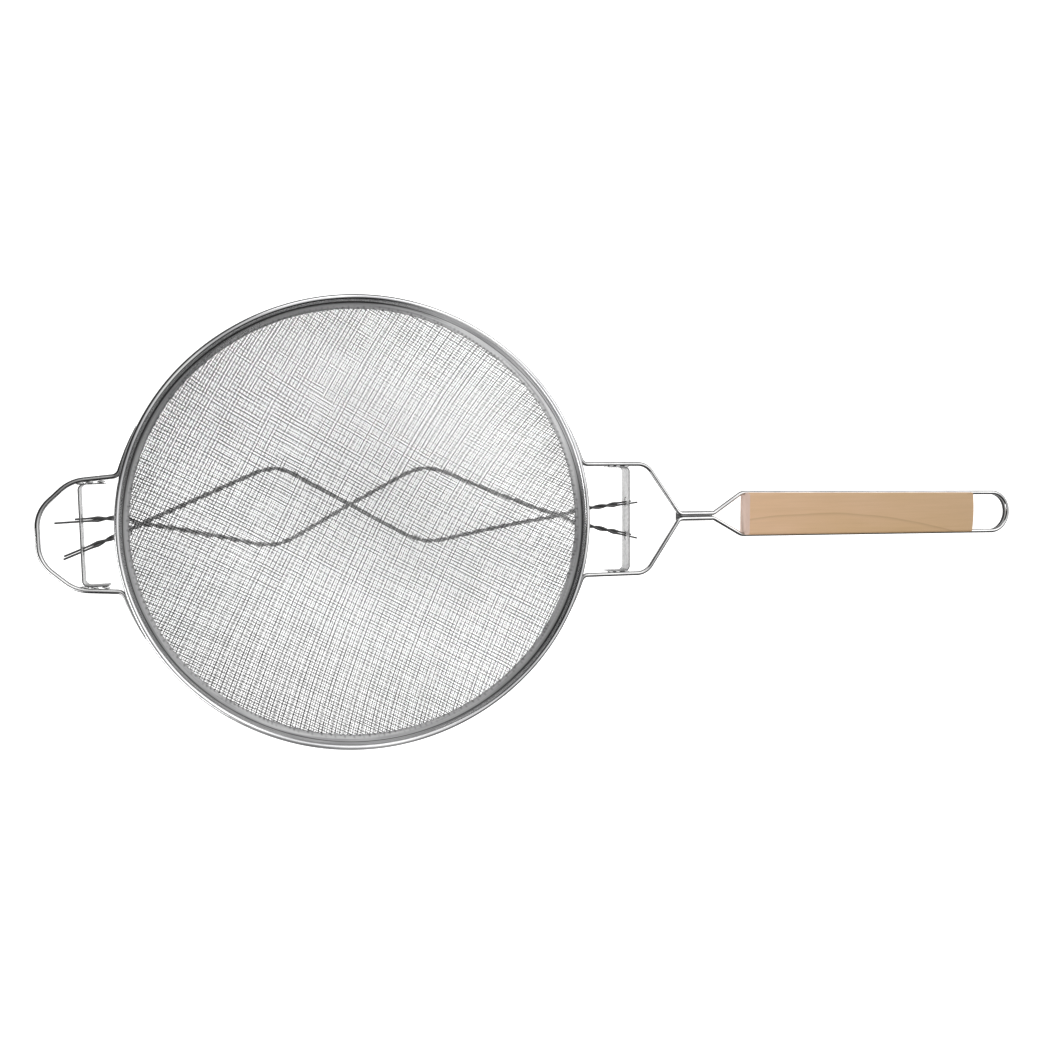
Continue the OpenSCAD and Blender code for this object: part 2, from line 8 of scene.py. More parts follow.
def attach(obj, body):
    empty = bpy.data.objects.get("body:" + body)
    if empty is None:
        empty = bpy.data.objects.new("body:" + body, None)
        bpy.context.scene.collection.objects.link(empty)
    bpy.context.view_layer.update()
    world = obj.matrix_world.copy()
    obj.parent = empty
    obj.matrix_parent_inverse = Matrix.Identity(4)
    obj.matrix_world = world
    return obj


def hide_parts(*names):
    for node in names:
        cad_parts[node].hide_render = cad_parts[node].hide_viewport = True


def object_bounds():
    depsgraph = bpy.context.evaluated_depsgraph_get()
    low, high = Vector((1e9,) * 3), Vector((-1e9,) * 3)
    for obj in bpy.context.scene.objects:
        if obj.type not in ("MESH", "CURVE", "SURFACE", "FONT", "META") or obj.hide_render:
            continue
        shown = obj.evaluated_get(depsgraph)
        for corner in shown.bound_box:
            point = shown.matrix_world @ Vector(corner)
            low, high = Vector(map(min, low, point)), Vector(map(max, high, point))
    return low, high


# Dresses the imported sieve: woven bowl, rolled rim, drawn and twisted wires, wooden grip, studio and
# camera. Shapes are worked out in millimetres in the frame of the CAD model, with the sizes of its
# source, and turned into metres where a mesh is made.

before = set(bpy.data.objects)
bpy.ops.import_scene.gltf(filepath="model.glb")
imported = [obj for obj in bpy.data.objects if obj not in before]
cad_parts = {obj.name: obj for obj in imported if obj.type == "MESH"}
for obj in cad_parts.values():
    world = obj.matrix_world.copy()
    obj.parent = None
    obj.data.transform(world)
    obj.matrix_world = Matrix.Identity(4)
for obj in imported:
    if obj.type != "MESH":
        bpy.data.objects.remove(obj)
cad_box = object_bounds()

MM = 0.001
UP = np.array([0.0, 0.0, 1.0])
SEED = 7

# Sizes of the CAD source, in millimetres and degrees

RIM_LENGTH = 307.0
RIM_WIDTH = 296.0
BEAD_D = 3.6
RIM_SHEET = 0.5
RIM_HEIGHT = 12.0
BOWL_DEPTH = 100.0
OUTER_MESH_T = 0.9
INNER_MESH_T = 0.5
WIRE_D = 3.0
YOKE_WIDTH = 77.4
YOKE_ARM = 43.5
YOKE_SLANT = 26.0
NECK_LENGTH = 27.0
NECK_GAP = 0.5
NECK_SWAY = 1.2
NECK_TO_GRIP = 24.5
GRIP_SWAY = 2.3
HANG_LENGTH = 22.6
SHOULDER_BEND = 13.0
ROOT_BEND = 5.0
NECK_BEND = 5.0
LOOP_REACH = 44.0
LOOP_WIDTH = 70.8
LOOP_MID_WIDTH = 66.0
LOOP_NOSE = 30.0
LOOP_SLANT = 19.3
LOOP_BEND = 22.0
LOOP_TURN = 1.2
STRIP_H = 12.5
STRIP_T = 0.8
REST_BRACKET_OUT = 19.3
YOKE_BRACKET_OUT = 30.6
REST_SLOT_GAP = 18.2
YOKE_SLOT_GAP = 22.4
STRAND_D = 1.3
TWIST_PITCH = 20.0
SUPPORT_BEND_X = 54.0
SUPPORT_BEND_Y = 30.4
SUPPORT_SHIFT = 10.0
GRIP_LENGTH = 198.5
GRIP_WIDTH = 31.0
GRIP_T = 13.0
GRIP_EDGE_R = 1.6
GRIP_CHAMFER = 1.5
GRIP_CROWN = 1.0

SEAT_GAP = 0.05
HUG_OUT = 0.6
HUG_MARGIN = 3
YOKE_HUG_START = 29
LOOP_HUG_START = 27
MESH_IN = 0.2
MESH_DROP = 0.35
LEAF_GAP = 0.3
GRIP_BEND = 8.0
GROOVE_SUNK = 0.3
GROOVE_GAP = 0.1
STRIP_UP = 1.0
LINER_D = 2.4
LINER_ANGLE = 176.0

# Places and radii that follow from them

RIM_A = RIM_LENGTH / 2
OVAL_SHARE = RIM_WIDTH / RIM_LENGTH
OVAL_SHIFT = (RIM_LENGTH - RIM_WIDTH) / 2 / (2 - math.sqrt(2))
HUG_R = RIM_A + HUG_OUT
HUG_ARC_R = HUG_R - OVAL_SHIFT
WIRE_Z = WIRE_D / 2
BEAD_R = RIM_A - BEAD_D / 2
BEAD_Z = WIRE_Z + math.sqrt(((BEAD_D + WIRE_D) / 2 + 2 * SEAT_GAP) ** 2 - (HUG_R - BEAD_R) ** 2)
RIM_TOP = BEAD_Z + BEAD_D / 2
HOOP_LOW = RIM_TOP - RIM_HEIGHT
MOUTH_R = BEAD_R - MESH_IN
MOUTH_Z = BEAD_Z - BEAD_D / 2 - MESH_DROP
BOWL_LOW = RIM_TOP - BOWL_DEPTH
BOWL_R = (MOUTH_R ** 2 + (MOUTH_Z - BOWL_LOW) ** 2) / (2 * (MOUTH_Z - BOWL_LOW))
BOWL_CZ = BOWL_LOW + BOWL_R
MOUTH_SLOPE = math.asin(MOUTH_R / BOWL_R)
PACK_T = OUTER_MESH_T + SEAT_GAP + INNER_MESH_T
LEAF_LENGTH = (MOUTH_Z - HOOP_LOW) / math.sin(MOUTH_SLOPE)
LEAF_ANGLE = LEAF_LENGTH / BOWL_R
LEAF_LEAN = math.pi / 2 - MOUTH_SLOPE + LEAF_ANGLE / 2

SHOULDER_X = RIM_A + YOKE_ARM
NECK_START_X = SHOULDER_X + YOKE_SLANT
NECK_END_X = NECK_START_X + NECK_LENGTH
GRIP_X = NECK_END_X + NECK_TO_GRIP
GRIP_END_X = GRIP_X + GRIP_LENGTH
HANG_X = GRIP_END_X + HANG_LENGTH
NECK_HALF = (WIRE_D + NECK_GAP) / 2
GRIP_WIRE_Y = GRIP_WIDTH / 2 - GROOVE_SUNK
GRIP_TURN = math.atan2(GRIP_WIRE_Y - NECK_HALF, NECK_TO_GRIP)
GRIP_CORNER_X = GRIP_X - GRIP_BEND * math.tan(GRIP_TURN / 2) - SEAT_GAP
HANG_END_X = HANG_X + GRIP_WIRE_Y
GRIP_LEAN = math.degrees(math.atan2(-GRIP_SWAY, HANG_END_X - GRIP_CORNER_X))
YOKE_BRACKET_X = RIM_A + YOKE_BRACKET_OUT
REST_BRACKET_X = RIM_A + REST_BRACKET_OUT
SLOT_Z = WIRE_Z + STRIP_UP - STRIP_H / 2


# Mesh making

def build_mesh(name, vertices, quads, caps=()):
    """A mesh from points in millimetres, four-sided faces and end caps of any one count of corners"""
    mesh = bpy.data.meshes.new(name)
    mesh.vertices.add(len(vertices))
    mesh.vertices.foreach_set("co", (np.asarray(vertices) * MM).astype(np.float32).ravel())
    quads = np.asarray(quads, int).reshape(-1, 4)
    caps = np.asarray(caps, int)
    corners = caps.shape[1] if caps.size else 1
    loops = np.concatenate([quads.ravel(), caps.ravel()]).astype(np.int32)
    starts = np.concatenate([np.arange(len(quads)) * 4,
                             quads.size + np.arange(caps.size // corners) * corners])
    mesh.loops.add(len(loops))
    mesh.loops.foreach_set("vertex_index", loops)
    mesh.polygons.add(len(starts))
    mesh.polygons.foreach_set("loop_start", starts.astype(np.int32))
    mesh.update(calc_edges=True)
    mesh.validate()
    mesh.shade_smooth()
    return mesh


def dress(name, mesh, finish, slot, *nodes, sharp=None):
    """A piece of the sieve that rides on the body and stands for CAD nodes"""
    mesh.materials.clear()
    mesh.materials.append(finish)
    if sharp is not None:
        mesh.set_sharp_from_angle(angle=math.radians(sharp))
    piece = bpy.data.objects.new(name, mesh)
    bpy.context.scene.collection.objects.link(piece)
    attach(piece, "root")
    if nodes:
        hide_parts(*nodes)
    return piece


def unit(v):
    return v / np.linalg.norm(v, axis=-1, keepdims=True)


# Weld beads: rings along each, and its swell, slightly over 1 to leave a small face at both ends
WELD_RINGS = 9
WELD_SWELL = 1.02
# The cut ends of wires: depths in from the end, and the radii there, as shares of the wire's radius
CUT_END = ((0.0, 0.6), (0.12, 0.86), (0.4, 1.0))


class Tubes:
    """Round tubes gathered into one mesh"""

    def __init__(self, sides):
        self.sides = sides
        self.vertices, self.quads, self.caps = [], [], []
        self.count = 0

    def add(self, line, radius, up=UP, rounded=False):
        along = unit(np.gradient(line, axis=0))
        across = unit(np.cross(along, up))
        over = np.cross(across, along)
        radii = np.zeros(len(line)) + radius
        if rounded:
            line, radii, across, over = round_ends(line, radii, along, across, over)
        turn = np.arange(self.sides) * 2 * math.pi / self.sides
        rings = (line[:, None]
                 + (across[:, None] * np.cos(turn)[:, None] + over[:, None] * np.sin(turn)[:, None])
                 * radii[:, None, None])
        n, m = len(line), self.sides
        here = self.count + np.arange(n * m).reshape(n, m)
        onward = np.roll(here, -1, axis=1)
        self.vertices.append(rings.reshape(-1, 3))
        self.quads.append(np.stack([here[:-1], onward[:-1], onward[1:], here[1:]], -1).reshape(-1, 4))
        self.caps += [here[0][::-1], here[-1]]
        self.count += n * m

    def bead(self, middle, heading, length, width):
        """A small weld bead, round across and pointed at both ends"""
        share = np.linspace(-1, 1, WELD_RINGS)
        line = np.asarray(middle) + np.outer(share * length / 2, unit(np.asarray(heading, float)))
        self.add(line, width / 2 * np.sqrt(WELD_SWELL - share ** 2))

    def mesh(self, name):
        return build_mesh(name, np.concatenate(self.vertices), np.concatenate(self.quads), self.caps)


def round_ends(line, radii, along, across, over):
    """Adds the rings of a slightly rounded cut at both ends of a tube"""
    n = len(CUT_END)
    shares = np.array([share for _, share in CUT_END])
    first = [line[0] + along[0] * depth * radii[0] for depth, _ in CUT_END]
    last = [line[-1] - along[-1] * depth * radii[-1] for depth, _ in reversed(CUT_END)]
    return (np.concatenate([first, line[1:-1], last]),
            np.concatenate([radii[0] * shares, radii[1:-1], radii[-1] * shares[::-1]]),
            np.concatenate([[across[0]] * n, across[1:-1], [across[-1]] * n]),
            np.concatenate([[over[0]] * n, over[1:-1], [over[-1]] * n]))


# Shapes shared with the CAD source

def oval_point(rho, shift, angle):
    """Points of the four-arc oval that reaches rho along the handle"""
    quadrant = np.floor(angle / (math.pi / 2) + 0.5)
    ends = quadrant % 2 == 0
    reach = rho + np.where(ends, -1, math.sqrt(2) - 1) * shift
    centre_x = np.where(ends, shift * np.cos(quadrant * math.pi / 2), 0)
    centre_y = np.where(ends, 0, -shift * np.sin(quadrant * math.pi / 2))
    return centre_x + reach * np.cos(angle), centre_y + reach * np.sin(angle)


def bowl_point(radius, down, angle):
    """Points of the bowl at an angle down from its lowest point"""
    shift = OVAL_SHIFT * np.minimum(np.sin(down) / math.sin(MOUTH_SLOPE - LEAF_ANGLE), 1)
    x, y = oval_point(radius * np.sin(down), shift, angle)
    return np.stack([x, y, BOWL_CZ - radius * np.cos(down)], -1)


BEND_STEP = math.radians(4)


def bent_line(corners, bends):
    """A wire's centre line: straight runs between corners, each corner rounded by its own bend"""
    corners = [np.array(c, float) for c in corners]
    line = [corners[0]]
    for before, corner, after, bend in zip(corners, corners[1:], corners[2:], bends):
        heading, leaving = unit(corner - before), unit(after - corner)
        turn = math.atan2(heading[0] * leaving[1] - heading[1] * leaving[0], heading @ leaving)
        side = math.copysign(1, turn) * np.array([-heading[1], heading[0]])
        middle = corner - heading * bend * math.tan(abs(turn) / 2) + side * bend
        count = max(math.ceil(abs(turn) / BEND_STEP), 1)
        for a in np.linspace(0, turn, count + 1):
            spoke = -side * math.cos(a) + heading * math.sin(a) * math.copysign(1, turn)
            line.append(middle + spoke * bend)
    line.append(corners[-1])
    kept = [line[0]] + [b for a, b in zip(line, line[1:]) if np.linalg.norm(b - a) > SEAT_GAP]
    return np.array(kept)


def lay_flat(line):
    return np.column_stack([line, np.full(len(line), WIRE_Z)])


def turned(points, degrees):
    a = math.radians(degrees)
    spin = np.array([[math.cos(a), math.sin(a)], [-math.sin(a), math.cos(a)]])
    points = np.array(points, float)
    points[..., :2] = points[..., :2] @ spin
    return points


def hug_point(degrees):
    """The point at an angle round the end arc along which the wires hug the rim"""
    a = math.radians(degrees)
    return np.array([OVAL_SHIFT + HUG_ARC_R * math.cos(a), HUG_ARC_R * math.sin(a)])


def hug_end(width):
    """The angle round the end arc where a frame of this width turns off the rim"""
    return math.degrees(math.asin(width / (2 * HUG_ARC_R))) + HUG_MARGIN


def hug_corner(start, end):
    """The corner that a bend of the arc's radius turns into the arc from start to end"""
    a, half = math.radians((start + end) / 2), math.radians((end - start) / 2)
    reach = HUG_ARC_R / math.cos(half)
    return np.array([OVAL_SHIFT + reach * math.cos(a), reach * math.sin(a)])


def hug_leave(degrees, y):
    """Where the tangent of the arc at an angle comes out at y"""
    a = math.radians(degrees)
    return hug_point(degrees) + np.array([-math.sin(a), math.cos(a)]) * (
        (y - HUG_ARC_R * math.sin(a)) / math.cos(a))


def both_sides(side, bends):
    """The whole path of a wire that is the same on both sides of the handle's line"""
    mirrored = [np.array([p[0], -p[1]]) for p in reversed(side)]
    return side + mirrored, bends + bends[::-1]


def sway(x):
    """How far the bent handle lies off the middle line"""
    return np.interp(x, [SHOULDER_X, NECK_START_X, NECK_END_X, GRIP_CORNER_X, HANG_END_X],
                     [0, NECK_SWAY, NECK_SWAY, GRIP_SWAY, 0])


def handle_line():
    start, end = YOKE_HUG_START, hug_end(YOKE_WIDTH)
    side = [hug_point(start), hug_corner(start, end), hug_leave(end, YOKE_WIDTH / 2),
            (SHOULDER_X, YOKE_WIDTH / 2), (NECK_START_X, NECK_HALF), (NECK_END_X, NECK_HALF),
            (GRIP_CORNER_X, GRIP_WIRE_Y), (HANG_END_X, GRIP_WIRE_Y)]
    bends = [HUG_ARC_R, ROOT_BEND, SHOULDER_BEND, NECK_BEND, NECK_BEND, GRIP_BEND,
             GRIP_WIRE_Y - SEAT_GAP]
    corners, bends = both_sides(side, bends)
    return lay_flat(bent_line([np.array([x, y + sway(x)]) for x, y in corners], bends))


def loop_line():
    start, end = LOOP_HUG_START, hug_end(LOOP_WIDTH)
    nose_x = -RIM_A - LOOP_REACH + WIRE_D / 2
    back = np.array([-1, 1])
    side = [hug_point(start) * back, hug_corner(start, end) * back,
            hug_leave(end, LOOP_WIDTH / 2) * back,
            (nose_x + LOOP_SLANT, LOOP_MID_WIDTH / 2), (nose_x, LOOP_NOSE / 2)]
    bends = [HUG_ARC_R, ROOT_BEND, LOOP_BEND, LOOP_BEND]
    return turned(lay_flat(bent_line(*both_sides(side, bends))), LOOP_TURN)


# Woven bowl

# Each layer: distance between threads, their thickness and sides, how uneven their spacing is, and
# the objects that each family of threads is shared out to, so that none is too large to export whole
COARSE = {"pitch": (2.96, 2.6), "thread": 0.45, "sides": 6, "uneven": 0.04, "shares": 1}
FINE = {"pitch": (1.75, 1.65), "thread": 0.31, "sides": 4, "uneven": 0.04, "shares": 2}
THREAD_HEADINGS = (-31.0, 64.5)
# Threads sway from their lines: how far, how many sine waves do it, and how many radians of the sine
# a radian of the bowl takes, on average
SWAY = 0.16
SWAY_SINES = 12
SWAY_WAVES = 26
# The net reaches past the mouth, and its threads are cut half-way down the leaves
NET_REACH = 1.06 * MOUTH_SLOPE
CUT_ANGLE = MOUTH_SLOPE - 0.5 * LEAF_ANGLE
SHORTEST_THREAD = 2


def thread_quadrant(along_u, along_v, heading_u, heading_v):
    """Crossings of two thread families draped over a unit sphere, out from its lowest point.
    Every cell keeps the lengths of its sides, and its corners give way, as woven cloth does."""
    nu, nv = len(along_u), len(along_v)
    points = np.zeros((nu, nv, 3))
    low = np.array([0.0, 0.0, -1.0])
    for angles, heading, where in ((along_u, heading_u, points[:, 0]), (along_v, heading_v, points[0])):
        where[:] = np.sin(angles)[:, None] * heading + np.cos(angles)[:, None] * low
    for total in range(2, nu + nv - 1):
        i = np.arange(max(1, total - nv + 1), min(nu - 1, total - 1) + 1)
        j = total - i
        middle = unit(points[i - 1, j] + points[i, j - 1])
        corner = points[i - 1, j - 1]
        points[i, j] = 2 * (corner * middle).sum(1)[:, None] * middle - corner
    return points


def thread_net(pitch, uneven, radius, random):
    """The crossings of a whole layer on a unit sphere, with threads spaced slightly unevenly"""
    steps = []
    for spacing in pitch:
        n = math.ceil(NET_REACH * radius / spacing)
        places = np.arange(-n, n + 1) + random.normal(0, uneven, 2 * n + 1)
        places[n] = 0
        steps.append(places * spacing / radius)
    net = np.zeros((len(steps[0]), len(steps[1]), 3))
    headings = [np.array([math.cos(math.radians(h)), math.sin(math.radians(h)), 0])
                for h in THREAD_HEADINGS]
    halves = [(slice(len(step) // 2, None), slice(len(step) // 2, None, -1)) for step in steps]
    for side_u in halves[0]:
        for side_v in halves[1]:
            net[side_u, side_v] = thread_quadrant(steps[0][side_u], steps[1][side_v], *headings)
    sway = sum(random.normal(0, 1, 3) * np.sin(net @ random.normal(0, SWAY_WAVES, 3)
                                               + random.uniform(0, 2 * math.pi))[..., None]
               for _ in range(SWAY_SINES))
    return unit(net + sway * SWAY / radius / math.sqrt(SWAY_SINES / 2))


def woven_threads(net, family, layer, radius, share):
    """A share of one family of a layer's threads, each passing over and under the other family's"""
    threads = Tubes(layer["sides"])
    if family:
        net = net.transpose(1, 0, 2)
    side = np.where(np.add.outer(np.arange(net.shape[0]), np.arange(net.shape[1])) % 2, 1.0, -1.0)
    lift = side * (1 if family else -1) * layer["thread"] / 2
    down = np.arccos(np.clip(-net[..., 2], -1, 1))
    for row in np.array_split(np.arange(net.shape[1]), layer["shares"])[share]:
        inside = np.flatnonzero(down[:, row] <= CUT_ANGLE)
        if len(inside) < 3 or inside[0] == 0 or inside[-1] == net.shape[0] - 1:
            continue
        run = np.arange(inside[0] - 1, inside[-1] + 2).astype(float)
        for end, kept in ((0, inside[0]), (-1, inside[-1])):
            beyond = int(run[end])
            cut = (CUT_ANGLE - down[kept, row]) / (down[beyond, row] - down[kept, row])
            run[end] = kept + (beyond - kept) * cut
        places = np.arange(net.shape[0])
        way = unit(np.stack([np.interp(run, places, net[:, row, axis]) for axis in range(3)], -1))
        lifts = np.interp(run, places, lift[:, row])
        line = bowl_point(radius + lifts, np.arccos(np.clip(-way[:, 2], -1, 1)),
                          np.arctan2(way[:, 1], way[:, 0]))
        if np.linalg.norm(line[-1] - line[0]) > SHORTEST_THREAD:
            threads.add(line, layer["thread"] / 2, up=way)
    return threads


def weave_bowl(coarse_steel, fine_steel):
    random = np.random.default_rng(SEED)
    layers = (("outer_mesh", COARSE, BOWL_R - OUTER_MESH_T / 2, coarse_steel, "coarse_mesh"),
              ("inner_mesh", FINE, BOWL_R - OUTER_MESH_T - SEAT_GAP - INNER_MESH_T / 2, fine_steel,
               "fine_mesh"))
    for node, layer, radius, finish, slot in layers:
        net = thread_net(layer["pitch"], layer["uneven"], radius, random)
        for family, word in enumerate(("warp", "weft")):
            for share in range(layer["shares"]):
                name = f"{node}_{word}_{share + 1}" if layer["shares"] > 1 else f"{node}_{word}"
                threads = woven_threads(net, family, layer, radius, share)
                dress(name, threads.mesh(name), finish, slot, node)


# Rolled rim

# Steps round the rim, round the bead and down each leaf, and in degrees the rounded edge of the sheet
# and the least turn that shades as a sharp edge
RIM_STEPS = 480
BEAD_STEPS = 34
LEAF_STEPS = 9
SHEET_EDGE = (60, 30, 0, -30, -60)
RIM_CREASE = 50
# The feet of the leaves wave a little: numbers of waves round the rim, the size of each, the range of
# their phases, and the shares that go outwards and upwards
RIM_WAVES = range(5, 60, 3)
RIM_WAVE_SIZE = 0.035
RIM_WAVE_PHASES = 6.3
RIM_WAVE_OUT = 0.3
RIM_WAVE_UP = 0.6


def hoop_sheet_line():
    """The sheet's middle line in section, from the foot of one leaf round the bead to the other"""
    lean = np.array([[math.cos(LEAF_LEAN), -math.sin(LEAF_LEAN)],
                     [math.sin(LEAF_LEAN), math.cos(LEAF_LEAN)]])
    bead = lean @ np.array([BEAD_R - MOUTH_R, BEAD_Z - MOUTH_Z])
    roll = (BEAD_D - RIM_SHEET) / 2
    outer_x = LEAF_GAP + RIM_SHEET / 2
    inner_x = -PACK_T - LEAF_GAP - RIM_SHEET / 2
    start = math.atan2(-math.sqrt(roll ** 2 - (outer_x - bead[0]) ** 2), outer_x - bead[0])
    end = math.atan2(-math.sqrt(roll ** 2 - (inner_x - bead[0]) ** 2), inner_x - bead[0]) + 2 * math.pi
    arc = [bead + roll * np.array([math.cos(a), math.sin(a)])
           for a in np.linspace(start, end, BEAD_STEPS)]
    foot = np.linspace(-LEAF_LENGTH + RIM_SHEET / 2, 0, LEAF_STEPS)
    flat = ([np.array([outer_x, y]) for y in foot] + arc
            + [np.array([inner_x, y]) for y in foot[::-1]])
    return np.array([np.array([MOUTH_R, MOUTH_Z]) + lean.T @ p for p in flat])


def hoop_section():
    """The closed section of the folded sheet, as (distance from the middle, height)"""
    line = hoop_sheet_line()
    along = unit(np.gradient(line, axis=0))
    out = np.stack([along[:, 1], -along[:, 0]], -1) * RIM_SHEET / 2
    caps = []
    for end, sign in ((-1, 1), (0, -1)):
        onward, aside = sign * along[end], sign * np.array([along[end][1], -along[end][0]])
        caps.append([line[end] + RIM_SHEET / 2 * (onward * math.cos(a) + aside * math.sin(a))
                     for a in np.radians(SHEET_EDGE)])
    return np.concatenate([line + out, caps[0], (line - out)[::-1], caps[1]])


def rolled_rim(finish):
    section = hoop_section()
    angle = np.arange(RIM_STEPS) * 2 * math.pi / RIM_STEPS
    random = np.random.default_rng(SEED)
    wave = sum(random.normal(0, RIM_WAVE_SIZE)
               * np.cos(k * angle + random.uniform(0, RIM_WAVE_PHASES)) for k in RIM_WAVES)[:, None]
    rho, height = section[:, 0][None], section[:, 1][None]
    foot = np.clip((MOUTH_Z - height) / (MOUTH_Z - HOOP_LOW), 0, 1) ** 2
    x, y = oval_point(rho + RIM_WAVE_OUT * foot * wave, OVAL_SHIFT, angle[:, None])
    points = np.stack([x, y, height + RIM_WAVE_UP * foot * wave], -1)
    n, m = points.shape[:2]
    here = np.arange(n * m).reshape(n, m)
    onward, above = np.roll(here, -1, axis=1), np.roll(here, -1, axis=0)
    quads = np.stack([here, above, np.roll(above, -1, axis=1), onward], -1).reshape(-1, 4)
    dress("rim_band", build_mesh("rim_band", points.reshape(-1, 3), quads), finish, "hoop_steel",
          "rim_hoop", sharp=RIM_CREASE)


# Twisted support wires

# A strand's thickness where it is twisted and outside the rim, how much thicker and for what length
# the knot makes it, the length over which the strands spread, and how close they lie when twisted
STRAND_THICK = 1.75
STRAND_SLIM = 1.25
STRAND_KNOT = 0.3
KNOT_REACH = 1.6
SPREAD_LENGTH = 5
STRAND_NEST = 0.93
STRAND_SIDES = 12
STEPS_PER_TWIST = 30
REST_END_STEPS = 14
YOKE_END_STEPS = 12
# The route is that of the CAD source, a little lower for the thicker strands
PAIR_SHARE = 2.16
CAD_PAIR_R = STRAND_D / 2 * PAIR_SHARE
PAIR_GAP = 0.15
PAIR_EXTRA = 0.15
PAIR_SHELL = BOWL_R + CAD_PAIR_R / OVAL_SHARE + PAIR_GAP + PAIR_EXTRA
EDGE_GAP = 0.4
EDGE_Z = HOOP_LOW - CAD_PAIR_R - EDGE_GAP
EDGE_RHO = math.sqrt(PAIR_SHELL ** 2 - (BOWL_CZ - EDGE_Z) ** 2)
EDGE_SPREAD = 4.7
END_CROSS_IN = 9
END_CROSS_Y_SHARE = 0.2
END_CROSS = np.array([EDGE_RHO - END_CROSS_IN, SUPPORT_SHIFT * END_CROSS_Y_SHARE])
CROSS_REACH = 10
CROSS_GAP = 0.25
CROSS_LIFT = 2 * (CAD_PAIR_R + PAIR_EXTRA) + CROSS_GAP
PLAN_STEP = 1.2
ROUND_REACH = 4
SUPPORT_EASE = 13
TWIST_STOP = 9
YOKE_ENDS = (9, 4)
# How a corner is rounded off: steps along the route, and the weight of the place there
SMOOTH_WEIGHTS = ((-2, 1), (-1, 2), (0, 2), (1, 2), (2, 1))
# Each support: its side at the yoke, how far it passes outside the other, and its ends past the slot
SUPPORTS = {"a": (1, 0, (12, 11)), "b": (-1, CROSS_LIFT, (15, 3.5))}


def onward_from(a, b, more):
    return b + unit(b - a) * more


def eased(before, corner, after):
    """A corner drawn as three points, so that the wire bends round it gently"""
    start, end = (corner + unit(other - corner) * SUPPORT_EASE for other in (before, after))
    return [start, (start + 2 * corner + end) / 4, end]


def support_corners(side, rest_end):
    """The corners of a support's route in plan, from the rest bracket to the yoke bracket"""
    rest_slot = turned(np.array([STRIP_T / 2 - REST_BRACKET_X, -side * REST_SLOT_GAP / 2]), LOOP_TURN)
    yoke_slot = np.array([YOKE_BRACKET_X - STRIP_T / 2, side * YOKE_SLOT_GAP / 2])
    rest_edge = np.array([-EDGE_RHO, END_CROSS[1] - side * EDGE_SPREAD])
    yoke_edge = np.array([EDGE_RHO, END_CROSS[1] + side * EDGE_SPREAD])
    rest_cross = END_CROSS * (-1, 1)
    rest_bend = np.array([-SUPPORT_BEND_X, SUPPORT_SHIFT + side * SUPPORT_BEND_Y])
    yoke_bend = np.array([SUPPORT_BEND_X, SUPPORT_SHIFT - side * SUPPORT_BEND_Y])
    return ([onward_from(rest_edge, rest_slot, rest_end + ROUND_REACH), rest_slot, rest_edge,
             rest_cross]
            + eased(rest_cross, rest_bend, yoke_bend) + eased(rest_bend, yoke_bend, END_CROSS)
            + [END_CROSS, yoke_edge, yoke_slot,
               onward_from(yoke_edge, yoke_slot, max(YOKE_ENDS) + ROUND_REACH)])


def route_height(plan):
    """Heights along a route: under the bowl, and rising beside it to the slots"""
    rho = np.hypot(plan[:, 0], plan[:, 1] / OVAL_SHARE)
    slot_x = np.where(plan[:, 0] < 0, REST_BRACKET_X, YOKE_BRACKET_X)
    under = BOWL_CZ - np.sqrt(np.maximum(PAIR_SHELL ** 2 - rho ** 2, 0))
    beside = EDGE_Z + (SLOT_Z - EDGE_Z) * np.minimum((rho - EDGE_RHO) / (slot_x - EDGE_RHO), 1)
    return np.where(rho <= EDGE_RHO, under, beside)


def support_route(side, lift, rest_end):
    """The middle line of a twisted pair, and the lengths along it where it passes both slots"""
    corners = support_corners(side, rest_end)
    plan = np.concatenate([
        np.linspace(a, b, math.ceil(np.linalg.norm(b - a) / PLAN_STEP), endpoint=False)
        for a, b in zip(corners, corners[1:])])
    crossings = (END_CROSS * (-1, 1), np.array([0, SUPPORT_SHIFT]), END_CROSS)
    near = np.min([np.linalg.norm(plan - c, axis=1) for c in crossings], axis=0)
    hump = np.where(near < CROSS_REACH, (1 + np.cos(math.pi * near / CROSS_REACH)) / 2, 0)
    route = np.column_stack([plan, route_height(plan)])
    route += unit(route - np.array([0, 0, BOWL_CZ])) * (lift * hump)[:, None]
    s = np.concatenate([[0], np.cumsum(np.linalg.norm(np.diff(route, axis=0), axis=1))])
    slots = [np.interp(x, route[:, 0], s) for x in (corners[1][0], corners[-2][0])]
    return route, s, slots


def smooth_route(route, s, at):
    """Points at lengths along a route, with its corners rounded"""
    total = np.zeros((len(at), 3))
    for step, weight in SMOOTH_WEIGHTS:
        near = at + step * ROUND_REACH / 2
        total += weight * np.stack([np.interp(near, s, route[:, k]) for k in range(3)], -1)
    return total / sum(weight for _, weight in SMOOTH_WEIGHTS)


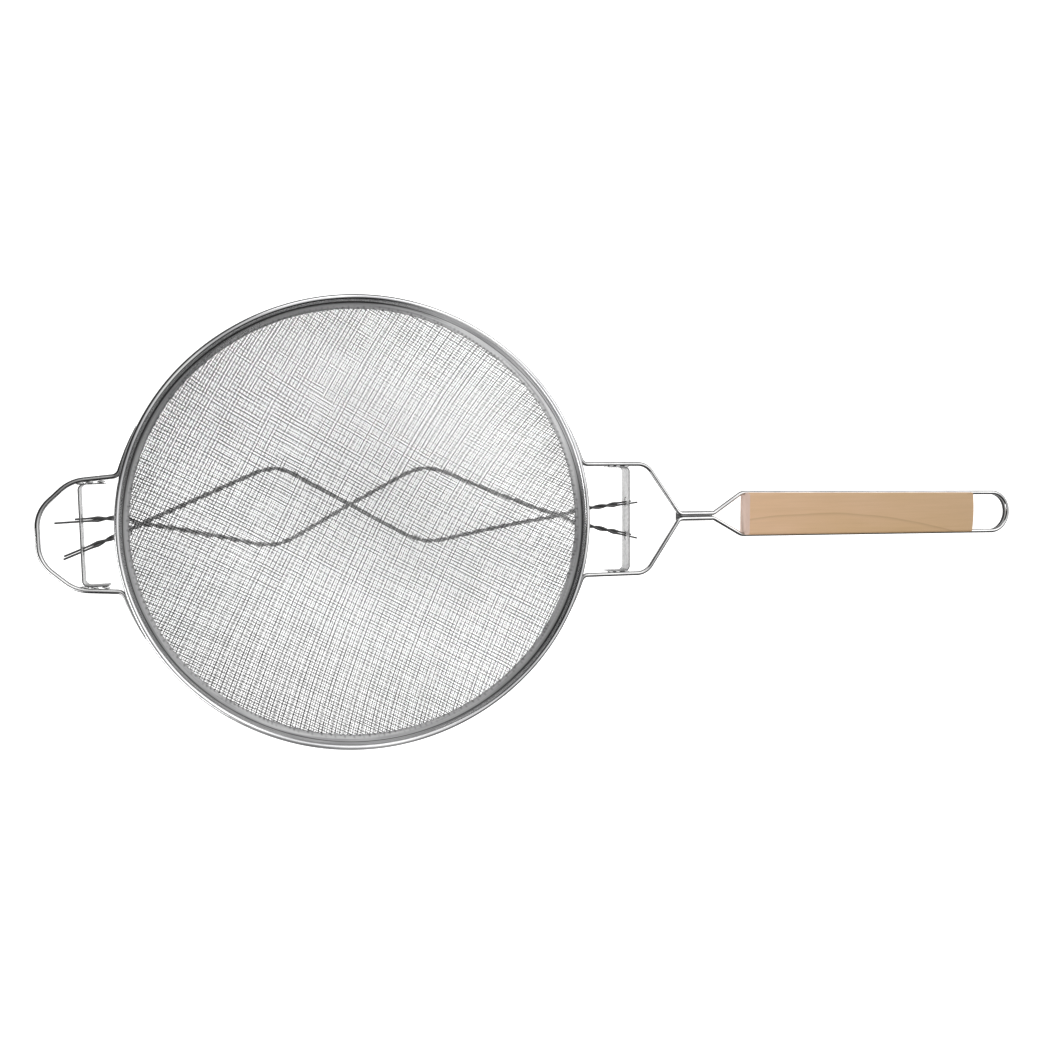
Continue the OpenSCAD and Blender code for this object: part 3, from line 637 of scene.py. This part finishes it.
def strand_line(side, lift, rest_ends, which):
    """The middle line and the radii of one strand of a twisted pair"""
    route, s, (rest_s, yoke_s) = support_route(side, lift, max(rest_ends))
    start, stop = rest_s + TWIST_STOP, yoke_s - TWIST_STOP
    turns = round((stop - start) / TWIST_PITCH)
    at = np.concatenate([
        np.linspace(rest_s - rest_ends[which], start, REST_END_STEPS)[:-1],
        np.linspace(start, stop, turns * STEPS_PER_TWIST + 1),
        np.linspace(stop, yoke_s + YOKE_ENDS[which], YOKE_END_STEPS)[1:]])
    middle = smooth_route(route, s, at)
    along = unit(smooth_route(route, s, at + STRAND_D) - smooth_route(route, s, at - STRAND_D))
    across = unit(np.cross(along, UP))
    over = np.cross(across, along)
    wound = (np.clip(at, start, stop) - start) / (stop - start)
    angle = (math.pi / 2 + math.pi * which + 2 * math.pi * turns * wound)[:, None]
    beyond = np.maximum(np.maximum(start - at, at - stop), 0)
    from_knot = np.minimum(abs(at - start), abs(at - stop))
    thick = (np.interp(beyond, [0, SPREAD_LENGTH], [STRAND_THICK, STRAND_SLIM])
             + STRAND_KNOT * np.exp(-(from_knot / KNOT_REACH) ** 2))
    apart = np.interp(beyond, [0, SPREAD_LENGTH],
                      [STRAND_THICK / 2 * STRAND_NEST, CAD_PAIR_R - STRAND_SLIM / 2])
    line = middle + (across * np.sin(angle) + over * np.cos(angle)) * apart[:, None]
    return line, thick / 2


def twist_supports(finish):
    for word, (side, lift, rest_ends) in SUPPORTS.items():
        for which in (0, 1):
            node = f"support_{word}_strand_{which + 1}"
            strand = Tubes(STRAND_SIDES)
            strand.add(*strand_line(side, lift, rest_ends, which), rounded=True)
            dress(f"{node}_wire", strand.mesh(f"{node}_wire"), finish, "support_wire", node)


# Frame wires, liner and grip

WIRE_SIDES = 28
# The ends that hug the rim are pressed thin: over what length, and to what share
TAPER_LENGTH = 32
TAPER_SHARE = 0.12
# Weld beads along the bracket legs: their places (x, y) beside each frame wire, how far they stand
# above its middle, their length and width, and how far they lean in
REST_WELDS = ((-171.5, 31.4), (-166.0, 31.9), (-159.5, 32.2))
YOKE_WELDS = ((181.5, 37.0), (175.0, 37.1), (170.0, 37.1))
WELD_UP = 0.4
WELD_LENGTH = 5
WELD_WIDTH = 1.5
WELD_LEAN = 0.12


def draw_wires(finish):
    for node, line, welds, turn in (("rest_loop", loop_line(), REST_WELDS, LOOP_TURN),
                                    ("handle_wire", handle_line(), YOKE_WELDS, 0)):
        steps = np.linalg.norm(np.diff(line, axis=0), axis=1)
        s = np.concatenate([[0], np.cumsum(steps)])
        to_end = np.minimum(s, s[-1] - s)
        wire = Tubes(WIRE_SIDES)
        shares = np.interp(to_end, [0, TAPER_LENGTH], [TAPER_SHARE, 1])
        wire.add(line, WIRE_D / 2 * shares, rounded=True)
        for x, y in welds:
            for side in (1, -1):
                place = turned([(x, side * y, WIRE_Z + WELD_UP)], turn)[0]
                wire.bead(place, (1, WELD_LEAN * side, 0), WELD_LENGTH, WELD_WIDTH)
        dress(f"{node}_drawn", wire.mesh(f"{node}_drawn"), finish, "frame_wire", node)


LINER_SIDES = 20
LINER_STEPS = 60


def line_hang_loop(finish):
    half = math.radians(LINER_ANGLE) / 2
    a = np.linspace(-half, half, LINER_STEPS)
    arc = np.column_stack([HANG_X + GRIP_WIRE_Y * np.cos(a), GRIP_WIRE_Y * np.sin(a),
                           np.full(len(a), -LINER_D / 2 - SEAT_GAP)])
    liner = Tubes(LINER_SIDES)
    liner.add(arc, LINER_D / 2, rounded=True)
    dress("hang_loop_liner_wire", liner.mesh("hang_loop_liner_wire"), finish, "support_wire",
          "hang_loop_liner")


# How much the grip's ends are rounded, with a share for its faces, and the places of its rings: near
# the chamfered end, between as (first, last, count), and at the bulging end as (depth, inset)
GRIP_SOFT = 0.35
FACE_SOFT_SHARE = 0.3
NEAR_RINGS = (0, 0.12, GRIP_SOFT, 0.9, GRIP_CHAMFER, GRIP_CHAMFER + 0.5)
MIDDLE_RINGS = (6, GRIP_LENGTH - 8, 40)
FAR_RINGS = ((3, 0), (1, 0), (GRIP_SOFT, 0), (0.1, 0.1), (0, GRIP_SOFT))
# Points round each groove and long edge and across half a face, the shares at which the side's and
# the face's points begin, and the least turn that shades as a sharp edge, in degrees
GROOVE_POINTS = 9
EDGE_POINTS = 8
FACE_POINTS = 7
SIDE_SHARE = 0.62
FACE_SHARE = 0.8
GRIP_CREASE = 35


def arc_points(centre, radius, start, end, count):
    a = np.radians(np.linspace(start, end, count))
    return [np.array([centre[0] + radius * math.cos(t), centre[1] + radius * math.sin(t)]) for t in a]


def grip_section():
    """The grip's section across the handle: flat faces, rounded long edges and a groove each side"""
    w, t, r = GRIP_WIDTH / 2, GRIP_T / 2, GRIP_EDGE_R
    groove = WIRE_D / 2 + GROOVE_GAP
    lip = math.degrees(math.asin((w - GRIP_WIRE_Y) / groove))
    quarter = (arc_points((GRIP_WIRE_Y, 0), groove, 180, 90 - lip, GROOVE_POINTS)
               + [np.array([w, SIDE_SHARE * t])]
               + arc_points((w - r, t - r), r, 0, 90, EDGE_POINTS)
               + [np.array([y, t]) for y in np.linspace(FACE_SHARE * (w - r), 0, FACE_POINTS)])
    upper = quarter + [p * (-1, 1) for p in reversed(quarter[:-1])]
    return np.array(upper + [p * (1, -1) for p in reversed(upper[1:-1])])


def carve_grip(finish):
    section = grip_section()
    half_w, half_t = GRIP_WIDTH / 2, GRIP_T / 2
    crown_r = (half_w ** 2 + GRIP_CROWN ** 2) / (2 * GRIP_CROWN)
    rings = []
    for x in np.concatenate([NEAR_RINGS, np.linspace(*MIDDLE_RINGS)]):
        side_in = GRIP_SOFT * (1 - min(x / GRIP_SOFT, 1)) ** 2
        lid = half_t - max(GRIP_CHAMFER - x, 0) - FACE_SOFT_SHARE * side_in
        rings.append(np.column_stack([np.full(len(section), x),
                                      np.clip(section[:, 0], side_in - half_w, half_w - side_in),
                                      np.clip(section[:, 1], -lid, lid)]))
    for depth, inset in FAR_RINGS:
        y = np.clip(section[:, 0], inset - half_w, half_w - inset)
        z = np.clip(section[:, 1], inset - half_t, half_t - inset)
        end = GRIP_LENGTH - crown_r + np.sqrt(crown_r ** 2 - y ** 2)
        rings.append(np.column_stack([end - depth, y, z]))
    points = (turned(np.array(rings).reshape(-1, 3), GRIP_LEAN).reshape(len(rings), -1, 3)
              + np.array([GRIP_X, sway(GRIP_X), WIRE_Z]))
    n, m = points.shape[:2]
    here = np.arange(n * m).reshape(n, m)
    onward = np.roll(here, -1, axis=1)
    quads = np.stack([here[:-1], here[1:], onward[1:], onward[:-1]], -1).reshape(-1, 4)
    mesh = build_mesh("grip_wood", points.reshape(-1, 3), quads, [here[0], here[-1][::-1]])
    dress("grip_wood", mesh, finish, "grip_wood", "grip", sharp=GRIP_CREASE)


# Plates, in millimetres and degrees: points nearer than this are one, faces turned less than this are
# one, sharper edges than this are rounded off so far, and then sharper ones than this shade as sharp
PLATE_WELD = 0.02
PLATE_FLAT = 1
PLATE_SHARP = 40
PLATE_ROUND = 0.15
PLATE_CREASE = 35


def modify(piece, kind, **settings):
    modifier = piece.modifiers.new(kind.lower(), kind)
    for key, value in settings.items():
        setattr(modifier, key, value)


def soften_plates(bracket_finish, plate_finish):
    """The brackets and the neck plate are copies of their CAD meshes, with their edges rounded off"""
    for node, finish in (("rest_bracket", bracket_finish), ("yoke_bracket", bracket_finish),
                         ("neck_plate", plate_finish)):
        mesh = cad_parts[node].data.copy()
        piece = dress(f"{node}_sheet", mesh, finish, "bracket_steel", node)
        modify(piece, "WELD", merge_threshold=PLATE_WELD * MM)
        modify(piece, "DECIMATE", decimate_type="DISSOLVE", angle_limit=math.radians(PLATE_FLAT))
        modify(piece, "BEVEL", width=PLATE_ROUND * MM, segments=2, limit_method="ANGLE",
               angle_limit=math.radians(PLATE_SHARP))
        view = bpy.context.evaluated_depsgraph_get()
        made = bpy.data.meshes.new_from_object(piece.evaluated_get(view))
        piece.modifiers.clear()
        piece.data = made
        made.shade_smooth()
        made.set_sharp_from_angle(angle=math.radians(PLATE_CREASE))


# Finishes

WHITE = (1, 1, 1, 1)


class NodeTree:
    """The nodes of a material or world"""

    def __init__(self, owner):
        owner.use_nodes = True
        self.nodes = owner.node_tree.nodes
        self.links = owner.node_tree.links

    def add(self, kind, settings=None, **inputs):
        """A node whose inputs, given by name or by number as in _0, take values or other sockets"""
        node = self.nodes.new(kind)
        for key, value in (settings or {}).items():
            setattr(node, key, value)
        for key, value in inputs.items():
            socket = node.inputs[int(key[1:])] if key[0] == "_" else node.inputs[key.replace("_", " ")]
            if isinstance(value, bpy.types.NodeSocket):
                self.links.new(value, socket)
            else:
                socket.default_value = value
        return node

    def operate(self, kind, operation, values):
        inputs = {f"_{number}": value for number, value in enumerate(values)}
        return self.add(kind, {"operation": operation}, **inputs).outputs

    def calc(self, operation, *values):
        return self.operate("ShaderNodeMath", operation, values)[0]

    def vector(self, operation, *values):
        outputs = self.operate("ShaderNodeVectorMath", operation, values)
        return outputs["Value" if operation in ("LENGTH", "DOT_PRODUCT") else "Vector"]

    def axes(self, vector):
        return self.add("ShaderNodeSeparateXYZ", Vector=vector).outputs

    def portion(self, value, start, end, least=0.0, most=1.0):
        """How far a value has come from start to end, as a number from least to most"""
        return self.add("ShaderNodeMapRange", Value=value, From_Min=start, From_Max=end, To_Min=least,
                        To_Max=most).outputs["Result"]

    def ramp(self, value, *stops):
        node = self.add("ShaderNodeValToRGB", Fac=value)
        elements = node.color_ramp.elements
        while len(elements) < len(stops):
            elements.new(0.5)
        for element, (position, colour) in zip(elements, stops):
            element.position = position
            element.color = (*colour, 1)
        return node.outputs["Color"]

    def grey_ramp(self, value, *stops):
        return self.ramp(value, *[(at, (level,) * 3) for at, level in stops])

    def mix(self, share, first, second, blend="MIX"):
        return self.add("ShaderNodeMix", {"data_type": "RGBA", "blend_type": blend}, _0=share, _6=first,
                        _7=second).outputs[2]

    def times(self, first, second):
        return self.mix(1.0, first, second, "MULTIPLY")


class Finish(NodeTree):
    """A procedural material, with its place on the object in metres"""

    def __init__(self, name, colour, metallic, roughness):
        self.material = bpy.data.materials.new(name)
        super().__init__(self.material)
        self.shader = self.nodes["Principled BSDF"]
        self.shader.inputs["Base Color"].default_value = (*colour, 1)
        self.shader.inputs["Metallic"].default_value = metallic
        self.shader.inputs["Roughness"].default_value = roughness
        self.place = self.add("ShaderNodeTexCoord").outputs["Object"]

    def mapped(self, **settings):
        """The place on the object, moved, turned or scaled"""
        return self.add("ShaderNodeMapping", Vector=self.place, **settings).outputs["Vector"]

    def noise(self, scale, detail=3, stretch=(1, 1, 1), rough=0.55):
        """Noise with scale in cells per metre, stretched along the axes"""
        return self.add("ShaderNodeTexNoise", Vector=self.mapped(Scale=stretch), Scale=scale,
                        Detail=detail, Roughness=rough).outputs["Fac"]

    def bump(self, height, strength, depth=0.1, **normal):
        """The normal of a bumpy surface, with its depth in millimetres"""
        return self.add("ShaderNodeBump", Height=height, Strength=strength, Distance=depth * MM,
                        **normal).outputs["Normal"]

    def facing(self):
        """How squarely the surface faces along each axis, from 0 to 1"""
        normal = self.add("ShaderNodeNewGeometry").outputs["Normal"]
        return self.axes(self.vector("ABSOLUTE", normal))

    def set(self, socket, value):
        self.links.new(value, self.shader.inputs[socket])


def burnt_steel():
    """Dark, rough sheet with a cloudy tone and fine grain"""
    finish = Finish("burnt_steel", (0.2, 0.2, 0.2), 1.0, 0.4)
    grain = finish.noise(1100, detail=4)
    cloud = finish.noise(45)
    finish.set("Base Color", finish.ramp(cloud, (0.25, (0.172, 0.174, 0.178)),
                                         (0.75, (0.2, 0.2, 0.198))))
    finish.set("Roughness", finish.grey_ramp(grain, (0.3, 0.26), (0.7, 0.54)))
    finish.set("Normal", finish.bump(grain, 0.3))
    return finish.material


# Painted shade darkens the frame wires under the bead, and fades over these millimetres past their arc
HUG_SHADE_FADES = (1.2, 4)


def frame_wire_steel():
    """Bright drawn wire, with painted shade darkening it where it lies along the rim under the bead"""
    finish = Finish("frame_wire_steel", (0.78, 0.78, 0.78), 1.0, 0.12)
    lines = finish.noise(700, detail=4)
    cloud = finish.grey_ramp(finish.noise(38), (0.3, 0.42), (0.7, 0.66))
    out = finish.vector("LENGTH", finish.vector("MULTIPLY", finish.place, (1, 1 / OVAL_SHARE, 0)))
    # Painted shade under the bead, where the wires hug the rim
    hug_shade = finish.portion(out, *((HUG_R + past) * MM for past in HUG_SHADE_FADES), 0.55, 1.0)
    finish.set("Base Color", finish.times(cloud, hug_shade))
    finish.set("Roughness", finish.grey_ramp(lines, (0.3, 0.08), (0.7, 0.17)))
    finish.set("Normal", finish.bump(lines, 0.15))
    return finish.material


# Painted shade on the threads lifts up to this share of the rim's reach towards the handle
THREAD_SHADE_SHARE = 0.3


def thread_steel(name, level, roughness):
    """Drawn thread, with painted shade that makes it darker towards the rest loop"""
    finish = Finish(name, (level,) * 3, 1.0, roughness)
    along = finish.portion(finish.axes(finish.place)["X"], -RIM_A * MM,
                           THREAD_SHADE_SHARE * RIM_A * MM)
    # Painted shade: the threads are darker towards the rest loop
    tone = finish.grey_ramp(along, (0.0, level * 0.1), (0.4, level * 0.45), (1.0, level * 0.95))
    cloud = finish.grey_ramp(finish.noise(45), (0.25, 0.8), (0.75, 1.1))
    finish.set("Base Color", finish.times(tone, cloud))
    return finish.material


# Painted shade darkens the strands over these millimetres about the rim's two ends
STRAND_SHADE_FADES = (-4, 3)


def support_steel():
    """Twisted strands: pale under the bowl, and darkened by painted shade outside it"""
    finish = Finish("support_steel", (0.5, 0.5, 0.5), 0.2, 0.35)
    off = finish.calc("ABSOLUTE", finish.axes(finish.place)["X"])
    outside = finish.portion(off, *((RIM_A + past) * MM for past in STRAND_SHADE_FADES))
    # Painted shade: dark outside the rim, pale under the bowl
    tone = finish.grey_ramp(outside, (0.0, 1.0), (1.0, 0.08))
    lines = finish.grey_ramp(finish.noise(900, detail=4), (0.3, 0.75), (0.7, 1.1))
    finish.set("Base Color", finish.times(tone, lines))
    return finish.material


def bracket_steel():
    """Slotted strip, painted by facing: rolled faces pale as painted light, cut edges and legs dark as
    painted shade
    """
    finish = Finish("bracket_steel", (0.8, 0.8, 0.8), 0.5, 0.2)
    # Painted light and shade by facing: faces along the handle pale, all others dark
    facing_shade = finish.grey_ramp(finish.facing()["X"], (0.5, 0.16), (0.85, 1.0))
    rough = finish.grey_ramp(finish.noise(500, detail=5), (0.3, 0.72), (0.55, 1.0))
    finish.set("Base Color", finish.times(facing_shade, rough))
    finish.set("Normal", finish.bump(finish.noise(900, detail=4), 0.2))
    return finish.material


# The rim's tone by height: painted shade in the fold under the bead, deep and dark, or only a thin dark
# line where the leaf carries its painted sheen
DEEP_FOLD_SHADE = ((HOOP_LOW, 1.0), (MOUTH_Z - 2.6, 0.92), (MOUTH_Z - 1.3, 0.6), (MOUTH_Z - 0.6, 0.06),
             (MOUTH_Z + 0.4, 0.08), (MOUTH_Z + 1.1, 0.6), (RIM_TOP - 0.6, 0.85), (RIM_TOP, 0.95))
THIN_FOLD_SHADE = ((HOOP_LOW, 0.62), (HOOP_LOW + 2.4, 0.72), (HOOP_LOW + 3.4, 1.0), (MOUTH_Z - 1.0, 1.0),
             (MOUTH_Z - 0.4, 0.04), (MOUTH_Z + 0.15, 1.0), (RIM_TOP, 1.0))
# How bright the leaf is painted round the rim, by degrees from the handle: a painted sheen, bright in
# places, which also makes the sheet less metallic there
RIM_PAINTED_SHEEN = ((-180, 0.6), (-135, 0.66), (-95, 0.8), (-60, 0.62), (-30, 0.5), (5, 0.55), (25, 1.0),
             (62, 1.0), (90, 0.45), (130, 0.35), (180, 0.6))
BEAD_FROM = (MOUTH_Z + 0.6 - HOOP_LOW) / RIM_HEIGHT
# The coarse threads begin to press through so far over the feet of the leaves, and do it fully here
PRESS_FADES = (6, 1)
# At scale 1, Blender's wave texture turns its sine by so many radians in a unit of length
WAVE_TURN = 20


def pressed_weave(finish, height):
    """How far the coarse threads press through the leaves, fading out towards the bead"""
    press = []
    for heading, spacing in zip(THREAD_HEADINGS, reversed(COARSE["pitch"])):
        place = finish.mapped(Rotation=(0, 0, -math.radians(heading + 90)))
        press.append(finish.add("ShaderNodeTexWave", {"wave_profile": "SIN"}, Vector=place,
                                Scale=2 * math.pi / (WAVE_TURN * spacing * MM), Distortion=1.5, Detail=1,
                                Detail_Scale=0.4).outputs["Fac"])
    low = finish.portion(height, *((HOOP_LOW + up) * MM for up in PRESS_FADES))
    return finish.calc("MULTIPLY", finish.calc("MULTIPLY", *press), low)


def rim_steel():
    """The rolled sheet: long sweeps of light and dark along it, painted shade in the fold under the
    bead, painted sheen on the leaf in places round the rim, and the weave pressed through its leaves
    from behind"""
    finish = Finish("rim_steel", (0.7, 0.7, 0.71), 0.6, 0.16)
    axes = finish.axes(finish.place)
    pressed = pressed_weave(finish, axes["Z"])
    around = finish.portion(finish.calc("ARCTAN2", axes["Y"], axes["X"]), -math.pi, math.pi)
    # Painted sheen: brightness painted round the rim by angle
    painted_sheen = finish.grey_ramp(around, *[((at + 180) / 360, tone) for at, tone in RIM_PAINTED_SHEEN])
    level = finish.portion(axes["Z"], HOOP_LOW * MM, RIM_TOP * MM)
    # Painted shade: the fold under the bead is darkened in the colour, deeply or as a thin line by the
    # sheen
    deep, thin = (finish.grey_ramp(level, *[((z - HOOP_LOW) / RIM_HEIGHT, tone) for z, tone in fold_shade])
                  for fold_shade in (DEEP_FOLD_SHADE, THIN_FOLD_SHADE))
    fold_shade = finish.mix(finish.grey_ramp(painted_sheen, (0.5, 0.0), (0.9, 1.0)), deep, thin)
    streaks = finish.ramp(finish.noise(520, detail=2, stretch=(0.035, 0.035, 1)),
                          (0.32, (0.5, 0.5, 0.51)), (0.5, (0.82, 0.82, 0.83)),
                          (0.66, (0.97, 0.97, 0.97)))
    weave = finish.grey_ramp(pressed, (0.1, 1.0), (0.6, 0.55))
    on_bead = finish.grey_ramp(level, (BEAD_FROM - 0.05, 0.0), (BEAD_FROM, 1.0))
    # Painted sheen: the leaf's colour is brightened by the sheen, and the bead is left as it is
    leaf_sheen_tone = finish.mix(on_bead, finish.grey_ramp(painted_sheen, (0.3, 0.62), (1.0, 1.25)), WHITE)
    finish.set("Base Color", finish.times(finish.times(finish.times(fold_shade, streaks), weave), leaf_sheen_tone))
    # The painted sheen also turns the sheet less metallic, so that it reads pale
    leaf_metal = finish.grey_ramp(painted_sheen, (0.3, 0.8), (1.0, 0.15))
    bead_metal = finish.times(on_bead, finish.grey_ramp(painted_sheen, (0.5, 1.0), (0.9, 0.4)))
    finish.set("Metallic", finish.calc("MAXIMUM", bead_metal, leaf_metal))
    finish.set("Roughness", finish.grey_ramp(finish.noise(60, detail=4), (0.3, 0.1), (0.75, 0.24)))
    grain = finish.bump(finish.noise(1400), 0.06)
    finish.set("Normal", finish.bump(pressed, 0.8, 0.4, Normal=grain))
    return finish.material


# Wood: its tones, and its growth rings, which arch towards a peak along the grip. The rings are given
# by the place of the peak, the arch and the tilt through the wood, their drift, how many there are in
# a metre, and where they start.
WOOD_PALE = (0.90, 0.60, 0.39)
WOOD_WARM = (0.81, 0.53, 0.29)
WOOD_RING = (0.56, 0.35, 0.19, 1)
WOOD_FIBRE = (0.60, 0.38, 0.2, 1)
# End faces: their own pink end-grain tone, painted lighter than the long faces as painted light
WOOD_END = (0.95, 0.72, 0.62, 1)
WOOD_FADE = (0.86, 0.88, 0.84)
RING_PEAK_X = GRIP_X + 0.3 * GRIP_LENGTH
RING_ARCH = 1.1
RING_TILT = 1.4
RING_DRIFT = 0.008
RINGS_PER_METRE = 30.0
RING_START = 0.43


def growth_rings(finish, axes):
    """Thin late-wood lines with a slow rise and a sharp fall"""
    drift = finish.noise(9, detail=2, stretch=(1, 2.5, 2.5))
    from_peak = finish.calc("POWER", finish.calc("SUBTRACT", axes["X"], RING_PEAK_X * MM), 2.0)
    arch = finish.calc("MULTIPLY_ADD", from_peak, RING_ARCH, axes["Y"])
    tilted = finish.calc("MULTIPLY_ADD", axes["Z"], RING_TILT, arch)
    ring = finish.calc("MULTIPLY_ADD", drift, RING_DRIFT, tilted)
    saw = finish.calc("FRACT", finish.calc("MULTIPLY_ADD", ring, RINGS_PER_METRE, RING_START))
    return finish.grey_ramp(saw, (0.0, 0.0), (0.86, 0.1), (0.935, 1.0), (0.96, 0.0))


def pale_wood():
    """Plain-sawn pale wood: arching growth rings, fine fibres along the grip, and pink end grain painted
    lighter as painted light
    """
    finish = Finish("pale_wood", (0.58, 0.42, 0.26), 0.0, 0.5)
    axes = finish.axes(finish.place)
    late = growth_rings(finish, axes)
    fibre = finish.noise(520, detail=5, stretch=(0.035, 1, 1), rough=0.65)
    patch = finish.noise(14, stretch=(0.6, 1.6, 1.6))
    base = finish.ramp(patch, (0.3, WOOD_PALE), (0.7, WOOD_WARM))
    strength = finish.grey_ramp(late, (0.0, 0.0), (1.0, 0.55))
    ringed = finish.mix(strength, base, finish.mix(late, base, WOOD_RING))
    colour = finish.mix(finish.grey_ramp(fibre, (0.35, 0.0), (0.75, 0.22)), ringed, WOOD_FIBRE)
    # End faces picked by facing get the lighter pink: own tone and painted light
    at_end = finish.grey_ramp(finish.facing()["X"], (0.4, 0.0), (0.7, 0.85))
    fade = finish.ramp(finish.portion(axes["X"], GRIP_X * MM, GRIP_END_X * MM), (0.0, (1.0, 1.0, 1.0)),
                       (1.0, WOOD_FADE))
    finish.set("Base Color", finish.times(finish.mix(at_end, colour, WOOD_END), fade))
    finish.set("Roughness", finish.grey_ramp(fibre, (0.3, 0.42), (0.8, 0.6)))
    finish.set("Normal", finish.bump(fibre, 0.25, 0.2))
    finish.shader.inputs["Specular IOR Level"].default_value = 0.3
    return finish.material


# Studio

# The floor, in metres but for its drop below the sieve, is a pale sheet that glows white to the camera.
# In the steel it shows a painted pool of light that glows a little, pale under the sieve and falling off
# round it.
FLOOR_SIZE = 4.0
FLOOR_DROP = 0.9
FLOOR_GLOW = (0.4, 0.4, 0.4, 1)
FLOOR_POOL_TONES = ((0.35, 0.8), (0.9, 0.12))
FLOOR_PALE_MIDDLE = (0.17, 0.0, 0.0)
FLOOR_PALE_REACH = (0.75, 0.42, 1.0)

# Soft boxes in metres: where they stand, what they face, their width and height, and their watts
SOFT_BOXES = {
    "soft_box_left": ((-0.85, -0.75, 0.62), (0.05, 0, 0), (0.9, 0.55), 4.0),
    "soft_box_low": ((-1.1, -0.62, 0.24), (0.05, 0, 0), (1.2, 0.45), 7.0),
    "soft_box_back": ((0.0, 1.15, 0.75), (0.05, 0, 0), (0.8, 0.5), 1.8),
    "soft_box_right": ((1.25, 0.5, 0.8), (0.25, 0, 0), (0.5, 0.5), 1.0)}

# The room's brightness by the angle to a broad light overhead, from straight away from it to straight
# at it: dark walls give the steel its lines
SKY_LIGHT = (0.46, 0.4, 0.793)
SKY_STOPS = ((0.0, 0.1), (0.5, 0.02), (0.66, 0.03), (0.78, 0.12), (0.88, 0.6), (0.95, 1.2),
             (0.985, 2.2))


def paper():
    finish = Finish("floor_paper", (0.8, 0.8, 0.8), 0.0, 1.0)
    shrink = [1 / reach for reach in FLOOR_PALE_REACH]
    shift = [-middle * k for middle, k in zip(FLOOR_PALE_MIDDLE, shrink)]
    near = finish.mapped(Scale=shrink, Location=shift)
    away = finish.vector("LENGTH", finish.vector("MULTIPLY", near, (1, 1, 0)))
    # Painted pool of light: pale and glowing under the sieve, falling off round it
    tone = finish.grey_ramp(away, *FLOOR_POOL_TONES)
    seen = finish.add("ShaderNodeLightPath").outputs["Is Camera Ray"]
    finish.set("Base Color", tone)
    finish.set("Emission Color", finish.mix(seen, finish.times(tone, FLOOR_GLOW), WHITE))
    finish.shader.inputs["Specular IOR Level"].default_value = 0.0
    finish.shader.inputs["Emission Strength"].default_value = 1.0
    return finish.material


def soft_box(name, place, target, size, power):
    light = bpy.data.lights.new(name, "AREA")
    light.shape = "RECTANGLE"
    light.size, light.size_y = size
    light.energy = power
    lamp = bpy.data.objects.new(name, light)
    lamp.location = place
    aim = Vector(target) - Vector(place)
    lamp.rotation_euler = aim.to_track_quat("-Z", "Y").to_euler()
    bpy.context.scene.collection.objects.link(lamp)


def sky():
    world = bpy.data.worlds.new("studio_sky")
    tree = NodeTree(world)
    direction = tree.add("ShaderNodeTexCoord").outputs["Generated"]
    share = tree.portion(tree.vector("DOT_PRODUCT", direction, SKY_LIGHT), -1, 1)
    seen = tree.add("ShaderNodeLightPath").outputs["Is Camera Ray"]
    colour = tree.mix(seen, tree.grey_ramp(share, *SKY_STOPS), WHITE)
    tree.links.new(colour, tree.nodes["Background"].inputs["Color"])
    bpy.context.scene.world = world


def studio():
    corners = np.array([[-1, -1, 0], [1, -1, 0], [1, 1, 0], [-1, 1, 0]]) * FLOOR_SIZE / MM / 2
    level = np.array([0, 0, cad_box[0][2] / MM - FLOOR_DROP])
    floor_mesh = build_mesh("floor", corners + level, [[0, 1, 2, 3]])
    floor_mesh.materials.append(paper())
    floor = bpy.data.objects.new("floor", floor_mesh)
    bpy.context.scene.collection.objects.link(floor)
    for name, light in SOFT_BOXES.items():
        soft_box(name, *light)
    sky()


# The camera of the photograph: place and nearest view in metres, the directions it looks and holds
# up, and its lens and sensor in millimetres
CAMERA_PLACE = (-0.0853, 0.0319, 0.6390)
CAMERA_NEAR = 0.01
CAMERA_LOOK = (0.2857, -0.0489, -0.9571)
CAMERA_UP = (0.0193, 0.9988, -0.0452)
CAMERA_LENS = 33.62
CAMERA_SENSOR = 36


def camera():
    back = -Vector(CAMERA_LOOK).normalized()
    right = Vector(CAMERA_UP).cross(back).normalized()
    above = back.cross(right)
    data = bpy.data.cameras.new("camera")
    data.sensor_width = CAMERA_SENSOR
    data.lens = CAMERA_LENS
    data.clip_start = CAMERA_NEAR
    seen = bpy.data.objects.new("camera", data)
    turn = Matrix((right, above, back)).transposed().to_4x4()
    seen.matrix_world = Matrix.Translation(CAMERA_PLACE) @ turn
    bpy.context.scene.collection.objects.link(seen)
    bpy.context.scene.camera = seen
    bpy.context.scene.view_settings.view_transform = "Standard"


def finish_hidden_core(finish):
    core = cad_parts["rim_core_wire"].data
    core.materials.clear()
    core.materials.append(finish)


camera()
studio()
strand_steel = support_steel()
weave_bowl(thread_steel("coarse_thread_steel", 0.28, 0.25), thread_steel("fine_thread_steel", 0.4, 0.2))
rolled_rim(rim_steel())
twist_supports(strand_steel)
draw_wires(frame_wire_steel())
line_hang_loop(strand_steel)
carve_grip(pale_wood())
soften_plates(bracket_steel(), burnt_steel())
finish_hidden_core(strand_steel)
